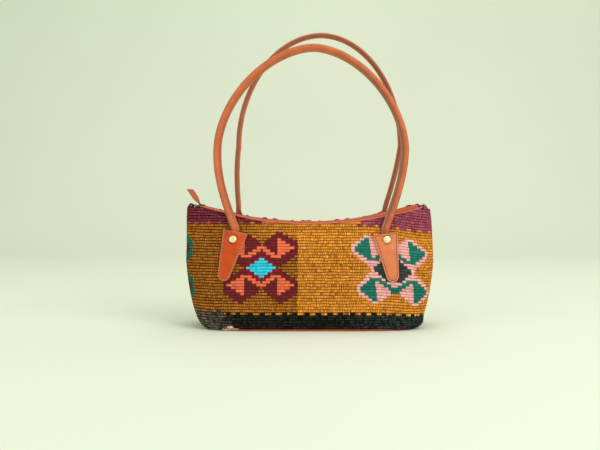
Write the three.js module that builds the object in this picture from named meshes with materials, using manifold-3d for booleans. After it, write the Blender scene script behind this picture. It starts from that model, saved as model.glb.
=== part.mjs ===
// Kilim baguette bag: a boat-shaped flat-weave body on a flat leather base, closed by a curved
// zip and carried by two rolled leather handles. Millimetres, +Z up, the front faces -Y.
// The origin is the middle of the base.

import * as THREE from 'three';
import { mergeVertices } from 'three/addons/utils/BufferGeometryUtils.js';
import Module from 'manifold-3d';

const wasm = await Module();
wasm.setup();

// Gap kept between pieces that touch
const CLEARANCE = 0.3;

// Body, measured at the bottom of the grooves between the rows of the weave
const BODY_WIDTH = 317.4;
const WIDEST_HEIGHT = 85;
const BASE_LENGTH = 256;
const BASE_DEPTH = 86;
const BELLY_DEPTH = 90;
const BELLY_HEIGHT = 20;
const BASE_SQUARENESS = 5;
const SIDE_FLARE = 1.2;
const CORNER_ROUNDING = 2.4;

// Rim: a sagging arc between two high corners, a little higher at the back
const RIM_WIDTH = 310;
const RIM_DEPTH = 33;
const RIM_CORNER_HEIGHT = 156.7;
const RIM_SAG = 24.7;
const RIM_CROSS_SLOPE = 0.05;
const RIM_SQUARENESS = 3;
const NECK_HEIGHT = 150;

// Kilim: thickness below the rows, and the rows that stand on it
const KILIM_THICKNESS = 2.6;
const ROW_PITCH = 3.4;
const ROW_HEIGHT = 0.7;
const BODY_COLUMNS = 32;
const SEAM_GAP = 0.3;

// Base and lining
const BASE_THICKNESS = 2;
const BOARD_THICKNESS = 2;
const LINING_THICKNESS = 1;
const LINING_SPACE = 2.5;
const LINING_COLUMNS = 24;
const LINING_RINGS = 6;

// Zip: heights are counted from the kilim rim along the rim's own normal
const ZIP_DROP = 1;
const TEETH_WIDTH = 6;
const TEETH_THICKNESS = 3;
const TEETH_SLOT = 1.2;
const TOOTH_PITCH = 3.4;
const TOOTH_WIDTH = 1.7;
const TOOTH_REACH = 1.2;
const TOOTH_FLANK = 0.3;
const TAPE_WIDTH = 21;
const TAPE_THICKNESS = 0.8;
const TAPE_END_INSET = 5.5;
const FACING_END_INSET = 11;
const FACING_THICKNESS = 1.8;
const STOP_LENGTH = 2.4;
const ZIP_STATIONS = 21;

// Slider, its bail, and the pull that hangs on it
const SLIDER_LENGTH = 9;
const SLIDER_WIDTH = 8.4;
const SLIDER_PLATE = 1.2;
const WEB_LENGTH = 7;
const BAIL_LENGTH = 6.4;
const BAIL_WIDTH = 1.6;
const BAIL_WIRE = 1.1;
const BAIL_SINK = 0.2;
const RING_RADIUS = 2.9;
const RING_WIRE = 1.1;
const PULL_LENGTH = 24;
const PULL_WIDTH = 6.8;
const PULL_THICKNESS = 2.4;
const PULL_EYE_RADIUS = 0.9;
const PULL_EYE_WALL = 1;
const PULL_SHOULDER = 5;
const PULL_CORNER = 1.5;
const PULL_LEAN = THREE.MathUtils.degToRad(-34);

// Leather tabs over the handle ends
const TAB_SIDE_INSET = 63.7;
const TAB_TOP_HEIGHT = 122;
const TAB_LENGTH = 62;
const TAB_TOP_WIDTH = 32;
const TAB_END_RADIUS = 8;
const TAB_END_STEPS = 6;
const TAB_THICKNESS = 2.2;
const TAB_RAMP = 8;
const TONGUE_LENGTH = 22;
const TONGUE_WIDTH = 9;
const TONGUE_THICKNESS = 1.6;

// Rivets through tab, tongue and kilim
const RIVET_INSET = 10.2;
const RIVET_HEAD_RADIUS = 4.65;
const RIVET_HEAD_HEIGHT = 2;
const RIVET_HEAD_EDGE = 0.5;
const RIVET_POST_RADIUS = 1.5;
const BURR_RADIUS = 3.6;
const BURR_THICKNESS = 1.2;
const RIVET_SIDES = 12;

// Rolled handles
const ROLL_WIDTH = 10.4;
const ROLL_DEPTH = 7;
const ROLL_SIDES = 10;
const ROLL_TAB_GAP = 1.6;
const APEX_Y = 10;
const LEG_STATIONS = 8;
const TURN_STATIONS = 2;
const ARCH_STATIONS = 20;
const ROLL_END_DEGREES = [45, 75];

// Each handle's own loop: how far its ends lie inside the front tabs' places, how far it bulges
// past them, how tall it is, how far it leans to the right, how square its arch is, and how far
// the roll is turned on its own axis above the tabs
const FRONT_HANDLE = {
  face: -1,
  inset: 0,
  leftBulge: 26.5,
  rightBulge: 21,
  widestRise: 99.5,
  rise: 228.6,
  shift: 4,
  archPower: 1.76,
  turn: 0,
};
const BACK_HANDLE = {
  face: 1,
  inset: 3,
  leftBulge: 16,
  rightBulge: 13,
  widestRise: 106,
  rise: 248.9,
  shift: 14.3,
  archPower: 1.94,
  turn: 90,
};

// Tabs splay outwards below, the left front one most
const TABS = [
  { name: 'front_left', handle: FRONT_HANDLE, side: -1, splay: 14 },
  { name: 'front_right', handle: FRONT_HANDLE, side: 1, splay: 8 },
  { name: 'back_left', handle: BACK_HANDLE, side: -1, splay: 11 },
  { name: 'back_right', handle: BACK_HANDLE, side: 1, splay: 11 },
];

const RIM_RADIUS = ((RIM_WIDTH / 2) ** 2 + RIM_SAG ** 2) / (2 * RIM_SAG);
const RIM_CENTRE_Z = RIM_CORNER_HEIGHT - RIM_SAG + RIM_RADIUS;
const PANEL_BOTTOM = BASE_THICKNESS + CLEARANCE;
const PANEL_TOP = RIM_CORNER_HEIGHT + RIM_CROSS_SLOPE * RIM_DEPTH + ROW_PITCH;
const BOARD_TOP = PANEL_BOTTOM + BOARD_THICKNESS;
const LINING_INSET = KILIM_THICKNESS + LINING_SPACE;

// Heights of the zip's layers above the rim
const TAPE_TOP = -ZIP_DROP + TAPE_THICKNESS / 2;
const TAPE_BOTTOM = TAPE_TOP - TAPE_THICKNESS;
const TEETH_TOP = -ZIP_DROP + TEETH_THICKNESS / 2;
const TEETH_BOTTOM = TEETH_TOP - TEETH_THICKNESS;
const FACING_BOTTOM = TAPE_TOP + CLEARANCE;
const FACING_TOP = FACING_BOTTOM + FACING_THICKNESS;
const FACING_INNER = SLIDER_WIDTH / 2 + CLEARANCE;
const PLATE_BOTTOM = TEETH_TOP + CLEARANCE;
const PLATE_TOP = PLATE_BOTTOM + SLIDER_PLATE;
const UNDER_TEETH = TEETH_BOTTOM - CLEARANCE;
const SLIDER_BOTTOM = UNDER_TEETH - SLIDER_PLATE;
const TAPE_LENGTH = RIM_WIDTH - 2 * TAPE_END_INSET;
const FACING_LENGTH = RIM_WIDTH - 2 * FACING_END_INSET;
const TEETH_HALF_LENGTH = TAPE_LENGTH / 2 - STOP_LENGTH - CLEARANCE;
const SLIDER_REST_X = SLIDER_LENGTH / 2 - TEETH_HALF_LENGTH;
const TAB_SPACING = BODY_WIDTH - 2 * TAB_SIDE_INSET;
const TAB_LIFT = CLEARANCE + TONGUE_THICKNESS + CLEARANCE;

// Body envelope

function halfWidth(z) {
  const widest = BODY_WIDTH / 2;
  const base = BASE_LENGTH / 2;
  if (z < WIDEST_HEIGHT) {
    const below = (1 - z / WIDEST_HEIGHT) ** SIDE_FLARE;
    return base + (widest - base) * (1 - below) ** (1 / CORNER_ROUNDING);
  }
  const above = (z - WIDEST_HEIGHT) / (RIM_CORNER_HEIGHT - WIDEST_HEIGHT);
  return widest - (widest - RIM_WIDTH / 2) * above * above;
}

function halfDepth(z) {
  if (z < BELLY_HEIGHT) {
    const below = 1 - z / BELLY_HEIGHT;
    return BELLY_DEPTH / 2 - ((BELLY_DEPTH - BASE_DEPTH) / 2) * below * below;
  }
  const share = THREE.MathUtils.smoothstep(z, BELLY_HEIGHT, NECK_HEIGHT);
  return THREE.MathUtils.lerp(BELLY_DEPTH / 2, RIM_DEPTH / 2, share);
}

function squareness(z) {
  const share = THREE.MathUtils.clamp(z / NECK_HEIGHT, 0, 1);
  return THREE.MathUtils.lerp(BASE_SQUARENESS, RIM_SQUARENESS, share);
}

// Half the body's depth at one place across its width
function depthAt(x, z) {
  const power = squareness(z);
  const share = Math.min(Math.abs(x) / halfWidth(z), 1);
  return halfDepth(z) * (1 - share ** power) ** (1 / power);
}

// One level outline of the body, moved outwards by offset
function bodyRing(z, offset, columns) {
  const power = 2 / squareness(z);
  const ring = [];
  for (let i = 0; i < columns; i += 1) {
    const angle = (2 * Math.PI * i) / columns;
    const across = Math.sign(Math.cos(angle)) * Math.abs(Math.cos(angle)) ** power;
    const along = Math.sign(Math.sin(angle)) * Math.abs(Math.sin(angle)) ** power;
    ring.push(new THREE.Vector3((halfWidth(z) + offset) * across, (halfDepth(z) + offset) * along, z));
  }
  return ring;
}

// Closed solids from rings of points

function capTriangles(ring) {
  const normal = new THREE.Vector3();
  ring.forEach((point, i) => {
    normal.add(new THREE.Vector3().crossVectors(point, ring[(i + 1) % ring.length]));
  });
  const turn = new THREE.Quaternion().setFromUnitVectors(normal.normalize(), new THREE.Vector3(0, 0, 1));
  const flat = ring.map((point) => {
    const turned = point.clone().applyQuaternion(turn);
    return new THREE.Vector2(turned.x, turned.y);
  });
  return THREE.ShapeUtils.triangulateShape(flat, []).map(([a, b, c]) => {
    const area = flat[b].clone().sub(flat[a]).cross(flat[c].clone().sub(flat[a]));
    return area > 0 ? [a, b, c] : [a, c, b];
  });
}

// Joins rings of equal length into one closed body, capped at both ends
function sweepSolid(rings) {
  const count = rings[0].length;
  const last = (rings.length - 1) * count;
  const index = [];
  for (let start = 0; start < last; start += count) {
    for (let i = 0; i < count; i += 1) {
      const next = (i + 1) % count;
      index.push(start + i, start + next, start + count + next);
      index.push(start + i, start + count + next, start + count + i);
    }
  }
  capTriangles(rings[0]).forEach(([a, b, c]) => index.push(a, c, b));
  capTriangles(rings[rings.length - 1]).forEach(([a, b, c]) => index.push(last + a, last + b, last + c));
  const geometry = new THREE.BufferGeometry();
  const points = rings.flat();
  geometry.setFromPoints(points);
  geometry.setIndex(signedVolume(points, index) < 0 ? index.reverse() : index);
  geometry.computeVertexNormals();
  return geometry;
}

function signedVolume(points, index) {
  let volume = 0;
  for (let i = 0; i < index.length; i += 3) {
    const cross = new THREE.Vector3().crossVectors(points[index[i + 1]], points[index[i + 2]]);
    volume += points[index[i]].dot(cross) / 6;
  }
  return volume;
}

function steps(from, to, count) {
  return Array.from({ length: count }, (_, i) => from + ((to - from) * i) / (count - 1));
}

// Joins and cuts

function toSolid(geometry) {
  const bare = geometry.clone();
  bare.deleteAttribute('normal');
  bare.deleteAttribute('uv');
  const merged = mergeVertices(bare);
  const vertProperties = new Float32Array(merged.attributes.position.array);
  const triVerts = new Uint32Array(merged.index.array);
  return new wasm.Manifold(new wasm.Mesh({ numProp: 3, vertProperties, triVerts }));
}

function toGeometry(solid) {
  const { vertProperties, triVerts } = solid.getMesh();
  const geometry = new THREE.BufferGeometry();
  geometry.setAttribute('position', new THREE.BufferAttribute(vertProperties, 3));
  geometry.setIndex(new THREE.BufferAttribute(triVerts, 1));
  geometry.computeVertexNormals();
  return geometry;
}

// Rim and zip frame

// A point of the rim's arc, y across the zip and height along the arc's normal
function onRim(angle, y, height) {
  const radius = RIM_RADIUS - height;
  const z = RIM_CENTRE_Z - radius * Math.cos(angle) + RIM_CROSS_SLOPE * y;
  return new THREE.Vector3(radius * Math.sin(angle), y, z);
}

function rimAngle(x) {
  return Math.asin(x / RIM_RADIUS);
}

// Half the clear depth between the two kilim panels at the rim
function rimHalfSpace(angle) {
  const point = onRim(angle, 0, 0);
  return depthAt(point.x, point.z) - KILIM_THICKNESS - CLEARANCE;
}

// A strip along the rim through the given angles, with a section of [y, height] points
function rimSweep(angles, section) {
  const rings = angles.map((angle, station) =>
    section(angle, station).map(([y, height]) => onRim(angle, y, height)),
  );
  return sweepSolid(rings);
}

// A strip along the rim from x = from to x = to
function rimStrip(from, to, stations, section) {
  return rimSweep(steps(rimAngle(from), rimAngle(to), stations), section);
}

function rectangle(y0, y1, bottom, top) {
  return [[y0, bottom], [y1, bottom], [y1, top], [y0, top]];
}

// Everything above the rim, lowered by drop
function aboveRim(drop) {
  const reach = BELLY_DEPTH;
  const half = BODY_WIDTH / 2;
  const ceiling = PANEL_TOP + RIM_SAG + RIM_CROSS_SLOPE * reach;
  const angles = steps(rimAngle(-half), rimAngle(half), ZIP_STATIONS);
  const rings = [-reach, reach].map((y) => {
    const arc = angles.map((angle) => onRim(angle, y, -drop));
    const right = arc[arc.length - 1];
    const edge = half + BODY_WIDTH;
    const corners = [
      new THREE.Vector3(edge, y, right.z),
      new THREE.Vector3(edge, y, ceiling),
      new THREE.Vector3(-edge, y, ceiling),
      new THREE.Vector3(-edge, y, right.z),
    ];
    return [...arc, ...corners];
  });
  return toSolid(sweepSolid(rings));
}

// Tabs, tongues and rivets follow the surface of the weave

// How far from the middle a handle's ends and their tabs lie
function hingeOut(handle) {
  return TAB_SPACING / 2 - handle.inset;
}

// A point on the weave's crests, s down the tab and u across it, raised by lift
function onTab(tab, s, u, lift) {
  const splay = THREE.MathUtils.degToRad(tab.splay);
  const out = hingeOut(tab.handle) + s * Math.sin(splay) + u * Math.cos(splay);
  const z = TAB_TOP_HEIGHT - s * Math.cos(splay) + u * Math.sin(splay);
  const depth = depthAt(out, z) + ROW_HEIGHT + lift;
  return new THREE.Vector3(tab.side * out, tab.handle.face * depth, z);
}

function tabHalfWidth(s) {
  const straight = TAB_LENGTH - TAB_END_RADIUS;
  if (s <= straight) {
    return THREE.MathUtils.lerp(TAB_TOP_WIDTH / 2, TAB_END_RADIUS, s / straight);
  }
  return Math.sqrt(TAB_END_RADIUS ** 2 - (s - straight) ** 2);
}

function tabLift(s) {
  const share = THREE.MathUtils.smoothstep(s, TONGUE_LENGTH, TONGUE_LENGTH + TAB_RAMP);
  return THREE.MathUtils.lerp(TAB_LIFT, CLEARANCE, share);
}

function layer(tab, stations, halfAt, liftAt, thickness) {
  const rings = stations.map((s) => {
    const half = halfAt(s);
    const low = liftAt(s);
    return [
      onTab(tab, s, -half, low),
      onTab(tab, s, half, low),
      onTab(tab, s, half, low + thickness),
      onTab(tab, s, -half, low + thickness),
    ];
  });
  return sweepSolid(rings);
}

// Where a rivet goes through, and the direction it points out of the body
function rivetSeat(tab) {
  const seat = onTab(tab, RIVET_INSET, 0, 0);
  const nudge = 0.5;
  const slopeX = (depthAt(seat.x + nudge, seat.z) - depthAt(seat.x - nudge, seat.z)) / (2 * nudge);
  const slopeZ = (depthAt(seat.x, seat.z + nudge) - depthAt(seat.x, seat.z - nudge)) / (2 * nudge);
  const normal = new THREE.Vector3(-slopeX, tab.handle.face, -slopeZ);
  const lean = 1 / normal.length();
  const turn = new THREE.Quaternion().setFromUnitVectors(new THREE.Vector3(0, 1, 0), normal.normalize());
  return { seat, turn, lean };
}

function placeOnRivet(geometry, tab) {
  const { seat, turn } = rivetSeat(tab);
  geometry.applyQuaternion(turn);
  geometry.translate(seat.x, seat.y, seat.z);
  return geometry;
}

// Distances along the rivet, from the crests of the weave
function rivetLevels(tab) {
  const { lean } = rivetSeat(tab);
  const head = (TAB_LIFT + TAB_THICKNESS + CLEARANCE) * lean;
  const burr = -(ROW_HEIGHT + KILIM_THICKNESS + CLEARANCE) * lean;
  return { head, burr, end: burr - BURR_THICKNESS };
}

function rivetGeometry(tab) {
  const { head, end } = rivetLevels(tab);
  const profile = [
    new THREE.Vector2(0, end),
    new THREE.Vector2(RIVET_POST_RADIUS, end),
    new THREE.Vector2(RIVET_POST_RADIUS, head),
    new THREE.Vector2(RIVET_HEAD_RADIUS, head),
  ];
  const dome = RIVET_HEAD_HEIGHT - RIVET_HEAD_EDGE;
  steps(0, Math.PI / 2, 5).forEach((angle) => {
    const radius = angle < Math.PI / 2 ? RIVET_HEAD_RADIUS * Math.cos(angle) : 0;
    profile.push(new THREE.Vector2(radius, head + RIVET_HEAD_EDGE + dome * Math.sin(angle)));
  });
  return placeOnRivet(new THREE.LatheGeometry(profile, RIVET_SIDES), tab);
}

function burrGeometry(tab) {
  const { burr, end } = rivetLevels(tab);
  const bore = RIVET_POST_RADIUS + CLEARANCE;
  const profile = [
    new THREE.Vector2(bore, end),
    new THREE.Vector2(BURR_RADIUS, end),
    new THREE.Vector2(BURR_RADIUS, burr),
    new THREE.Vector2(bore, burr),
    new THREE.Vector2(bore, end),
  ];
  return placeOnRivet(new THREE.LatheGeometry(profile, RIVET_SIDES), tab);
}

// The hole that a rivet's post leaves in what it goes through
function rivetHole(tab) {
  const reach = BELLY_DEPTH / 4;
  const radius = RIVET_POST_RADIUS + CLEARANCE;
  const drill = new THREE.CylinderGeometry(radius, radius, reach, RIVET_SIDES);
  return toSolid(placeOnRivet(drill, tab));
}

function tabGeometry(tab) {
  const straight = TAB_LENGTH - TAB_END_RADIUS;
  const round = steps(0, Math.PI / 2, TAB_END_STEPS + 2).slice(1, -1).map((angle) =>
    straight + TAB_END_RADIUS * Math.sin(angle),
  );
  const ramp = TONGUE_LENGTH + TAB_RAMP;
  const top = steps(0, TONGUE_LENGTH, 4);
  const stations = [...top, TONGUE_LENGTH + TAB_RAMP / 2, ...steps(ramp, straight, 4), ...round];
  const solid = toSolid(layer(tab, stations, tabHalfWidth, tabLift, TAB_THICKNESS));
  return toGeometry(solid.subtract(rivetHole(tab)));
}

function tongueGeometry(tab) {
  const stations = steps(0, TONGUE_LENGTH - CLEARANCE, 4);
  const flat = layer(tab, stations, () => TONGUE_WIDTH / 2, () => CLEARANCE, TONGUE_THICKNESS);
  return toGeometry(toSolid(flat).subtract(rivetHole(tab)));
}

// Kilim, base and lining

// The whole outer skin, with a ridge for every row of the weave
function wovenBody() {
  const rows = Math.ceil((PANEL_TOP - PANEL_BOTTOM) / ROW_PITCH);
  const rings = [bodyRing(PANEL_BOTTOM, 0, BODY_COLUMNS)];
  for (let row = 0; row < rows; row += 1) {
    const groove = PANEL_BOTTOM + row * ROW_PITCH;
    rings.push(bodyRing(groove + ROW_PITCH / 2, ROW_HEIGHT, BODY_COLUMNS));
    rings.push(bodyRing(groove + ROW_PITCH, 0, BODY_COLUMNS));
  }
  return toSolid(sweepSolid(rings));
}

function bodyHollow() {
  const low = steps(BOARD_TOP, BELLY_HEIGHT, 3);
  const high = steps(BELLY_HEIGHT, PANEL_TOP + 2 * ROW_PITCH, 9).slice(1);
  const heights = [BASE_THICKNESS, PANEL_BOTTOM, ...low, ...high];
  const rings = heights.map((z) => bodyRing(z, -KILIM_THICKNESS, BODY_COLUMNS));
  return toSolid(sweepSolid(rings));
}

// The half of space on one side of the side seams
function sideOfSeam(face) {
  const box = new THREE.BoxGeometry(2 * BODY_WIDTH, BELLY_DEPTH, 4 * RIM_CORNER_HEIGHT);
  box.translate(0, face * (BELLY_DEPTH + SEAM_GAP) / 2, 0);
  return toSolid(box);
}

const kilimShell = wovenBody().subtract(bodyHollow()).subtract(aboveRim(0));

function kilimPanel(face) {
  let panel = kilimShell.intersect(sideOfSeam(face));
  TABS.filter((tab) => tab.handle.face === face).forEach((tab) => {
    panel = panel.subtract(rivetHole(tab));
  });
  return toGeometry(panel);
}

function baseGeometry() {
  return sweepSolid([0, BASE_THICKNESS].map((z) => bodyRing(z, 0, BODY_COLUMNS)));
}

function boardGeometry() {
  const inset = -KILIM_THICKNESS - CLEARANCE;
  return sweepSolid([PANEL_BOTTOM, BOARD_TOP].map((z) => bodyRing(z, inset, BODY_COLUMNS)));
}

// An open-topped bag of thin cloth, up the outside and down the inside, just below the slider
function liningGeometry() {
  const floor = BOARD_TOP + CLEARANCE;
  const outside = steps(floor, PANEL_TOP, LINING_RINGS);
  const inside = steps(PANEL_TOP, floor + LINING_THICKNESS, LINING_RINGS);
  const rings = [
    ...outside.map((z) => bodyRing(z, -LINING_INSET, LINING_COLUMNS)),
    ...inside.map((z) => bodyRing(z, -LINING_INSET - LINING_THICKNESS, LINING_COLUMNS)),
  ];
  const drop = CLEARANCE - SLIDER_BOTTOM;
  return toGeometry(toSolid(sweepSolid(rings)).subtract(aboveRim(drop)));
}

// Zip

function facingGeometry(face) {
  const half = FACING_LENGTH / 2;
  return rimStrip(-half, half, ZIP_STATIONS, (angle) =>
    rectangle(face * FACING_INNER, face * rimHalfSpace(angle), FACING_BOTTOM, FACING_TOP),
  );
}

function tapeGeometry(face) {
  const half = TAPE_LENGTH / 2;
  const inner = TEETH_WIDTH / 2 + CLEARANCE;
  return rimStrip(-half, half, ZIP_STATIONS, (angle) => {
    const outer = Math.min(TAPE_WIDTH / 2, rimHalfSpace(angle));
    return rectangle(face * inner, face * outer, TAPE_BOTTOM, TAPE_TOP);
  });
}

// One row of teeth on its bead. The two rows stand half a pitch apart
function teethGeometry(face) {
  const tip = TEETH_SLOT / 2;
  const root = tip + TOOTH_REACH;
  const start = (face > 0 ? 0 : TOOTH_PITCH / 2) - TEETH_HALF_LENGTH;
  const teeth = Math.floor((TEETH_HALF_LENGTH - start) / TOOTH_PITCH);
  const edge = [[-TEETH_HALF_LENGTH, root]];
  for (let tooth = 0; tooth < teeth; tooth += 1) {
    const middle = start + (tooth + 0.5) * TOOTH_PITCH;
    const half = TOOTH_WIDTH / 2;
    edge.push([middle - half - TOOTH_FLANK, root], [middle - half, tip]);
    edge.push([middle + half, tip], [middle + half + TOOTH_FLANK, root]);
  }
  edge.push([TEETH_HALF_LENGTH, root]);
  const angles = edge.map(([x]) => rimAngle(x));
  return rimSweep(angles, (angle, station) =>
    rectangle(face * edge[station][1], (face * TEETH_WIDTH) / 2, TEETH_BOTTOM, TEETH_TOP),
  );
}

function stopGeometry(side) {
  const end = (side * TAPE_LENGTH) / 2;
  return rimStrip(end, end - side * STOP_LENGTH, 2, () =>
    rectangle(-TEETH_WIDTH / 2, TEETH_WIDTH / 2, TEETH_BOTTOM, TEETH_TOP),
  );
}

// Local frame on the slider's top plate: x along the zip, z away from it
const sliderAngle = rimAngle(SLIDER_REST_X);
const sliderFrame = new THREE.Matrix4()
  .makeRotationY(-sliderAngle)
  .setPosition(onRim(sliderAngle, 0, PLATE_TOP));

// Two plates joined by a web that runs in the slot between the rows of teeth, and a bail on top
function sliderGeometry() {
  const half = SLIDER_WIDTH / 2;
  const web = TEETH_SLOT / 2 - CLEARANCE;
  const bar = (length, side, bottom, top) => {
    const from = SLIDER_REST_X - length / 2;
    return toSolid(rimStrip(from, from + length, 2, () => rectangle(-side, side, bottom, top)));
  };
  const lower = bar(SLIDER_LENGTH, half, SLIDER_BOTTOM, UNDER_TEETH);
  const upper = bar(SLIDER_LENGTH, half, PLATE_BOTTOM, PLATE_TOP);
  const middle = bar(WEB_LENGTH, web, SLIDER_BOTTOM + SLIDER_PLATE / 2, PLATE_TOP - SLIDER_PLATE / 2);
  return toGeometry(lower.add(middle).add(upper).add(toSolid(bailGeometry())));
}

function bailGeometry() {
  const half = BAIL_LENGTH / 2;
  const leg = half - BAIL_WIRE;
  const clear = RING_WIRE + 2 * CLEARANCE;
  const top = clear + BAIL_WIRE;
  const arch = new THREE.Shape([
    new THREE.Vector2(-half, -BAIL_SINK),
    new THREE.Vector2(-leg, -BAIL_SINK),
    new THREE.Vector2(-leg, clear),
    new THREE.Vector2(leg, clear),
    new THREE.Vector2(leg, -BAIL_SINK),
    new THREE.Vector2(half, -BAIL_SINK),
    new THREE.Vector2(half, clear),
    new THREE.Vector2(leg, top),
    new THREE.Vector2(-leg, top),
    new THREE.Vector2(-half, clear),
  ]);
  const bail = new THREE.ExtrudeGeometry(arch, { depth: BAIL_WIDTH, bevelEnabled: false });
  bail.rotateX(Math.PI / 2);
  bail.translate(0, BAIL_WIDTH / 2, 0);
  return bail.applyMatrix4(sliderFrame);
}

// The pull turns on the ring's lowest wire, under the bail
const pullFrame = new THREE.Matrix4()
  .makeRotationY(PULL_LEAN)
  .setPosition(new THREE.Vector3(0, 0, CLEARANCE + RING_WIRE / 2).applyMatrix4(sliderFrame));

function ringGeometry() {
  const ring = new THREE.TorusGeometry(RING_RADIUS, RING_WIRE / 2, 6, 14);
  ring.rotateY(Math.PI / 2);
  ring.translate(0, 0, RING_RADIUS);
  return ring.applyMatrix4(pullFrame);
}

// A leather strip, narrow round its eye, wide above its shoulder
function pullGeometry() {
  const eye = PULL_EYE_RADIUS + PULL_EYE_WALL;
  const half = PULL_WIDTH / 2;
  const top = PULL_LENGTH - eye;
  const outline = new THREE.Shape();
  outline.moveTo(eye, 0);
  outline.lineTo(half, PULL_SHOULDER);
  outline.lineTo(half, top - PULL_CORNER);
  outline.absarc(half - PULL_CORNER, top - PULL_CORNER, PULL_CORNER, 0, Math.PI / 2);
  outline.lineTo(PULL_CORNER - half, top);
  outline.absarc(PULL_CORNER - half, top - PULL_CORNER, PULL_CORNER, Math.PI / 2, Math.PI);
  outline.lineTo(-half, PULL_SHOULDER);
  outline.lineTo(-eye, 0);
  outline.absarc(0, 0, eye, Math.PI, 2 * Math.PI);
  const hole = new THREE.Path();
  hole.absarc(0, 0, PULL_EYE_RADIUS, 0, 2 * Math.PI, true);
  outline.holes.push(hole);
  const strip = { depth: PULL_THICKNESS, bevelEnabled: false, curveSegments: 5 };
  const pull = new THREE.ExtrudeGeometry(outline, strip);
  pull.rotateX(Math.PI / 2);
  pull.translate(0, PULL_THICKNESS / 2, 2 * RING_RADIUS);
  return pull.applyMatrix4(pullFrame);
}

// Handles

const HINGE_HEIGHT = TAB_TOP_HEIGHT + ROLL_TAB_GAP + ROLL_DEPTH / 2;

function hingeDepth(handle) {
  return depthAt(hingeOut(handle), HINGE_HEIGHT) + ROW_HEIGHT + CLEARANCE + ROLL_DEPTH / 2;
}

// The loop's middle line in its own plane: [x, height above the hinge]
function loopPoints(handle) {
  const hinge = hingeOut(handle);
  const leg = (side, bulge) => steps(0, 1, LEG_STATIONS).map((share) => {
    const half = hinge + bulge * Math.sin((share * Math.PI) / 2);
    return [side * half + share * handle.shift, share * handle.widestRise];
  });
  const arch = steps(Math.PI, 0, ARCH_STATIONS).slice(1, -1).map((angle) => {
    const across = Math.sign(Math.cos(angle)) * Math.abs(Math.cos(angle)) ** (2 / handle.archPower);
    const over = Math.sin(angle) ** (2 / handle.archPower);
    const half = hinge + (across < 0 ? handle.leftBulge : handle.rightBulge);
    const up = handle.widestRise + (handle.rise - handle.widestRise) * over;
    return [half * across + handle.shift, up];
  });
  return [...leg(-1, handle.leftBulge), ...arch, ...leg(1, handle.rightBulge).reverse()];
}

// The roll's section at one station, turned about the loop's own direction
function rollRing(centre, along, out, turn, scale) {
  const across = new THREE.Vector3().crossVectors(along, out).normalize();
  const ring = [];
  for (let i = 0; i < ROLL_SIDES; i += 1) {
    const angle = (2 * Math.PI * i) / ROLL_SIDES;
    const wide = (ROLL_WIDTH / 2) * Math.cos(angle) * scale;
    const deep = (ROLL_DEPTH / 2) * Math.sin(angle) * scale;
    const u = wide * Math.cos(turn) - deep * Math.sin(turn);
    const v = wide * Math.sin(turn) + deep * Math.cos(turn);
    ring.push(centre.clone().addScaledVector(across, u).addScaledVector(out, v));
  }
  return ring;
}

function handleGeometry(handle) {
  const depth = hingeDepth(handle);
  const lean = Math.atan2(depth - APEX_Y, handle.rise);
  const place = ([x, up]) => {
    const y = handle.face * (depth - up * Math.sin(lean));
    return new THREE.Vector3(x, y, HINGE_HEIGHT + up * Math.cos(lean));
  };
  const out = new THREE.Vector3(0, handle.face * Math.cos(lean), Math.sin(lean));
  const turn = THREE.MathUtils.degToRad(handle.turn);
  const points = loopPoints(handle).map(place);
  const count = points.length;
  const rings = points.map((point, i) => {
    const before = points[Math.max(i - 1, 0)];
    const after = points[Math.min(i + 1, count - 1)];
    const along = after.clone().sub(before).normalize();
    const fromEnd = Math.min(i, count - 1 - i);
    const share = THREE.MathUtils.smoothstep(fromEnd, 0, TURN_STATIONS);
    return rollRing(point, along, out, turn * share, 1);
  });
  // Round ends, a little below the hinge
  const ends = [0, count - 1].map((i) => {
    const inner = points[i === 0 ? 1 : count - 2];
    const down = points[i].clone().sub(inner).normalize();
    const along = i === 0 ? down.clone().negate() : down;
    return ROLL_END_DEGREES.map((degrees) => {
      const angle = THREE.MathUtils.degToRad(degrees);
      const tip = points[i].clone().addScaledVector(down, (ROLL_DEPTH / 2) * Math.sin(angle));
      return rollRing(tip, along, out, 0, Math.cos(angle));
    });
  });
  return sweepSolid([...ends[0].reverse(), ...rings, ...ends[1]]);
}

// Materials

function finish(color, roughness, metalness) {
  return () => new THREE.MeshStandardMaterial({ color, roughness, metalness });
}

const kilimWool = finish(0xb8732c, 0.95, 0);
const rustLeather = finish(0xc3703f, 0.6, 0);
const baseLeather = finish(0xa04a20, 0.65, 0);
const liningCloth = finish(0x6b5a44, 0.95, 0);
const boardFibre = finish(0x4a4038, 0.9, 0);
const zipTape = finish(0x2b2622, 0.95, 0);
const brass = finish(0xc49a4a, 0.35, 1);
const gunmetal = finish(0x4d4842, 0.4, 1);

// Assembly

const bag = new THREE.Group();

function addPiece(name, geometry, material) {
  const mesh = new THREE.Mesh(geometry, material());
  mesh.name = name;
  bag.add(mesh);
}

const FACES = [['front', -1], ['back', 1]];

FACES.forEach(([name, face]) => {
  addPiece(`kilim_${name}_panel`, kilimPanel(face), kilimWool);
  addPiece(`zip_facing_${name}`, facingGeometry(face), rustLeather);
  addPiece(`zip_tape_${name}`, tapeGeometry(face), zipTape);
  addPiece(`zip_teeth_${name}`, teethGeometry(face), brass);
});

addPiece('leather_base', baseGeometry(), baseLeather);
addPiece('base_board', boardGeometry(), boardFibre);
addPiece('lining', liningGeometry(), liningCloth);
addPiece('zip_top_stop', stopGeometry(-1), brass);
addPiece('zip_bottom_stop', stopGeometry(1), brass);
addPiece('zip_slider', sliderGeometry(), gunmetal);
addPiece('zip_pull_ring', ringGeometry(), gunmetal);
addPiece('zip_pull', pullGeometry(), rustLeather);

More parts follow.
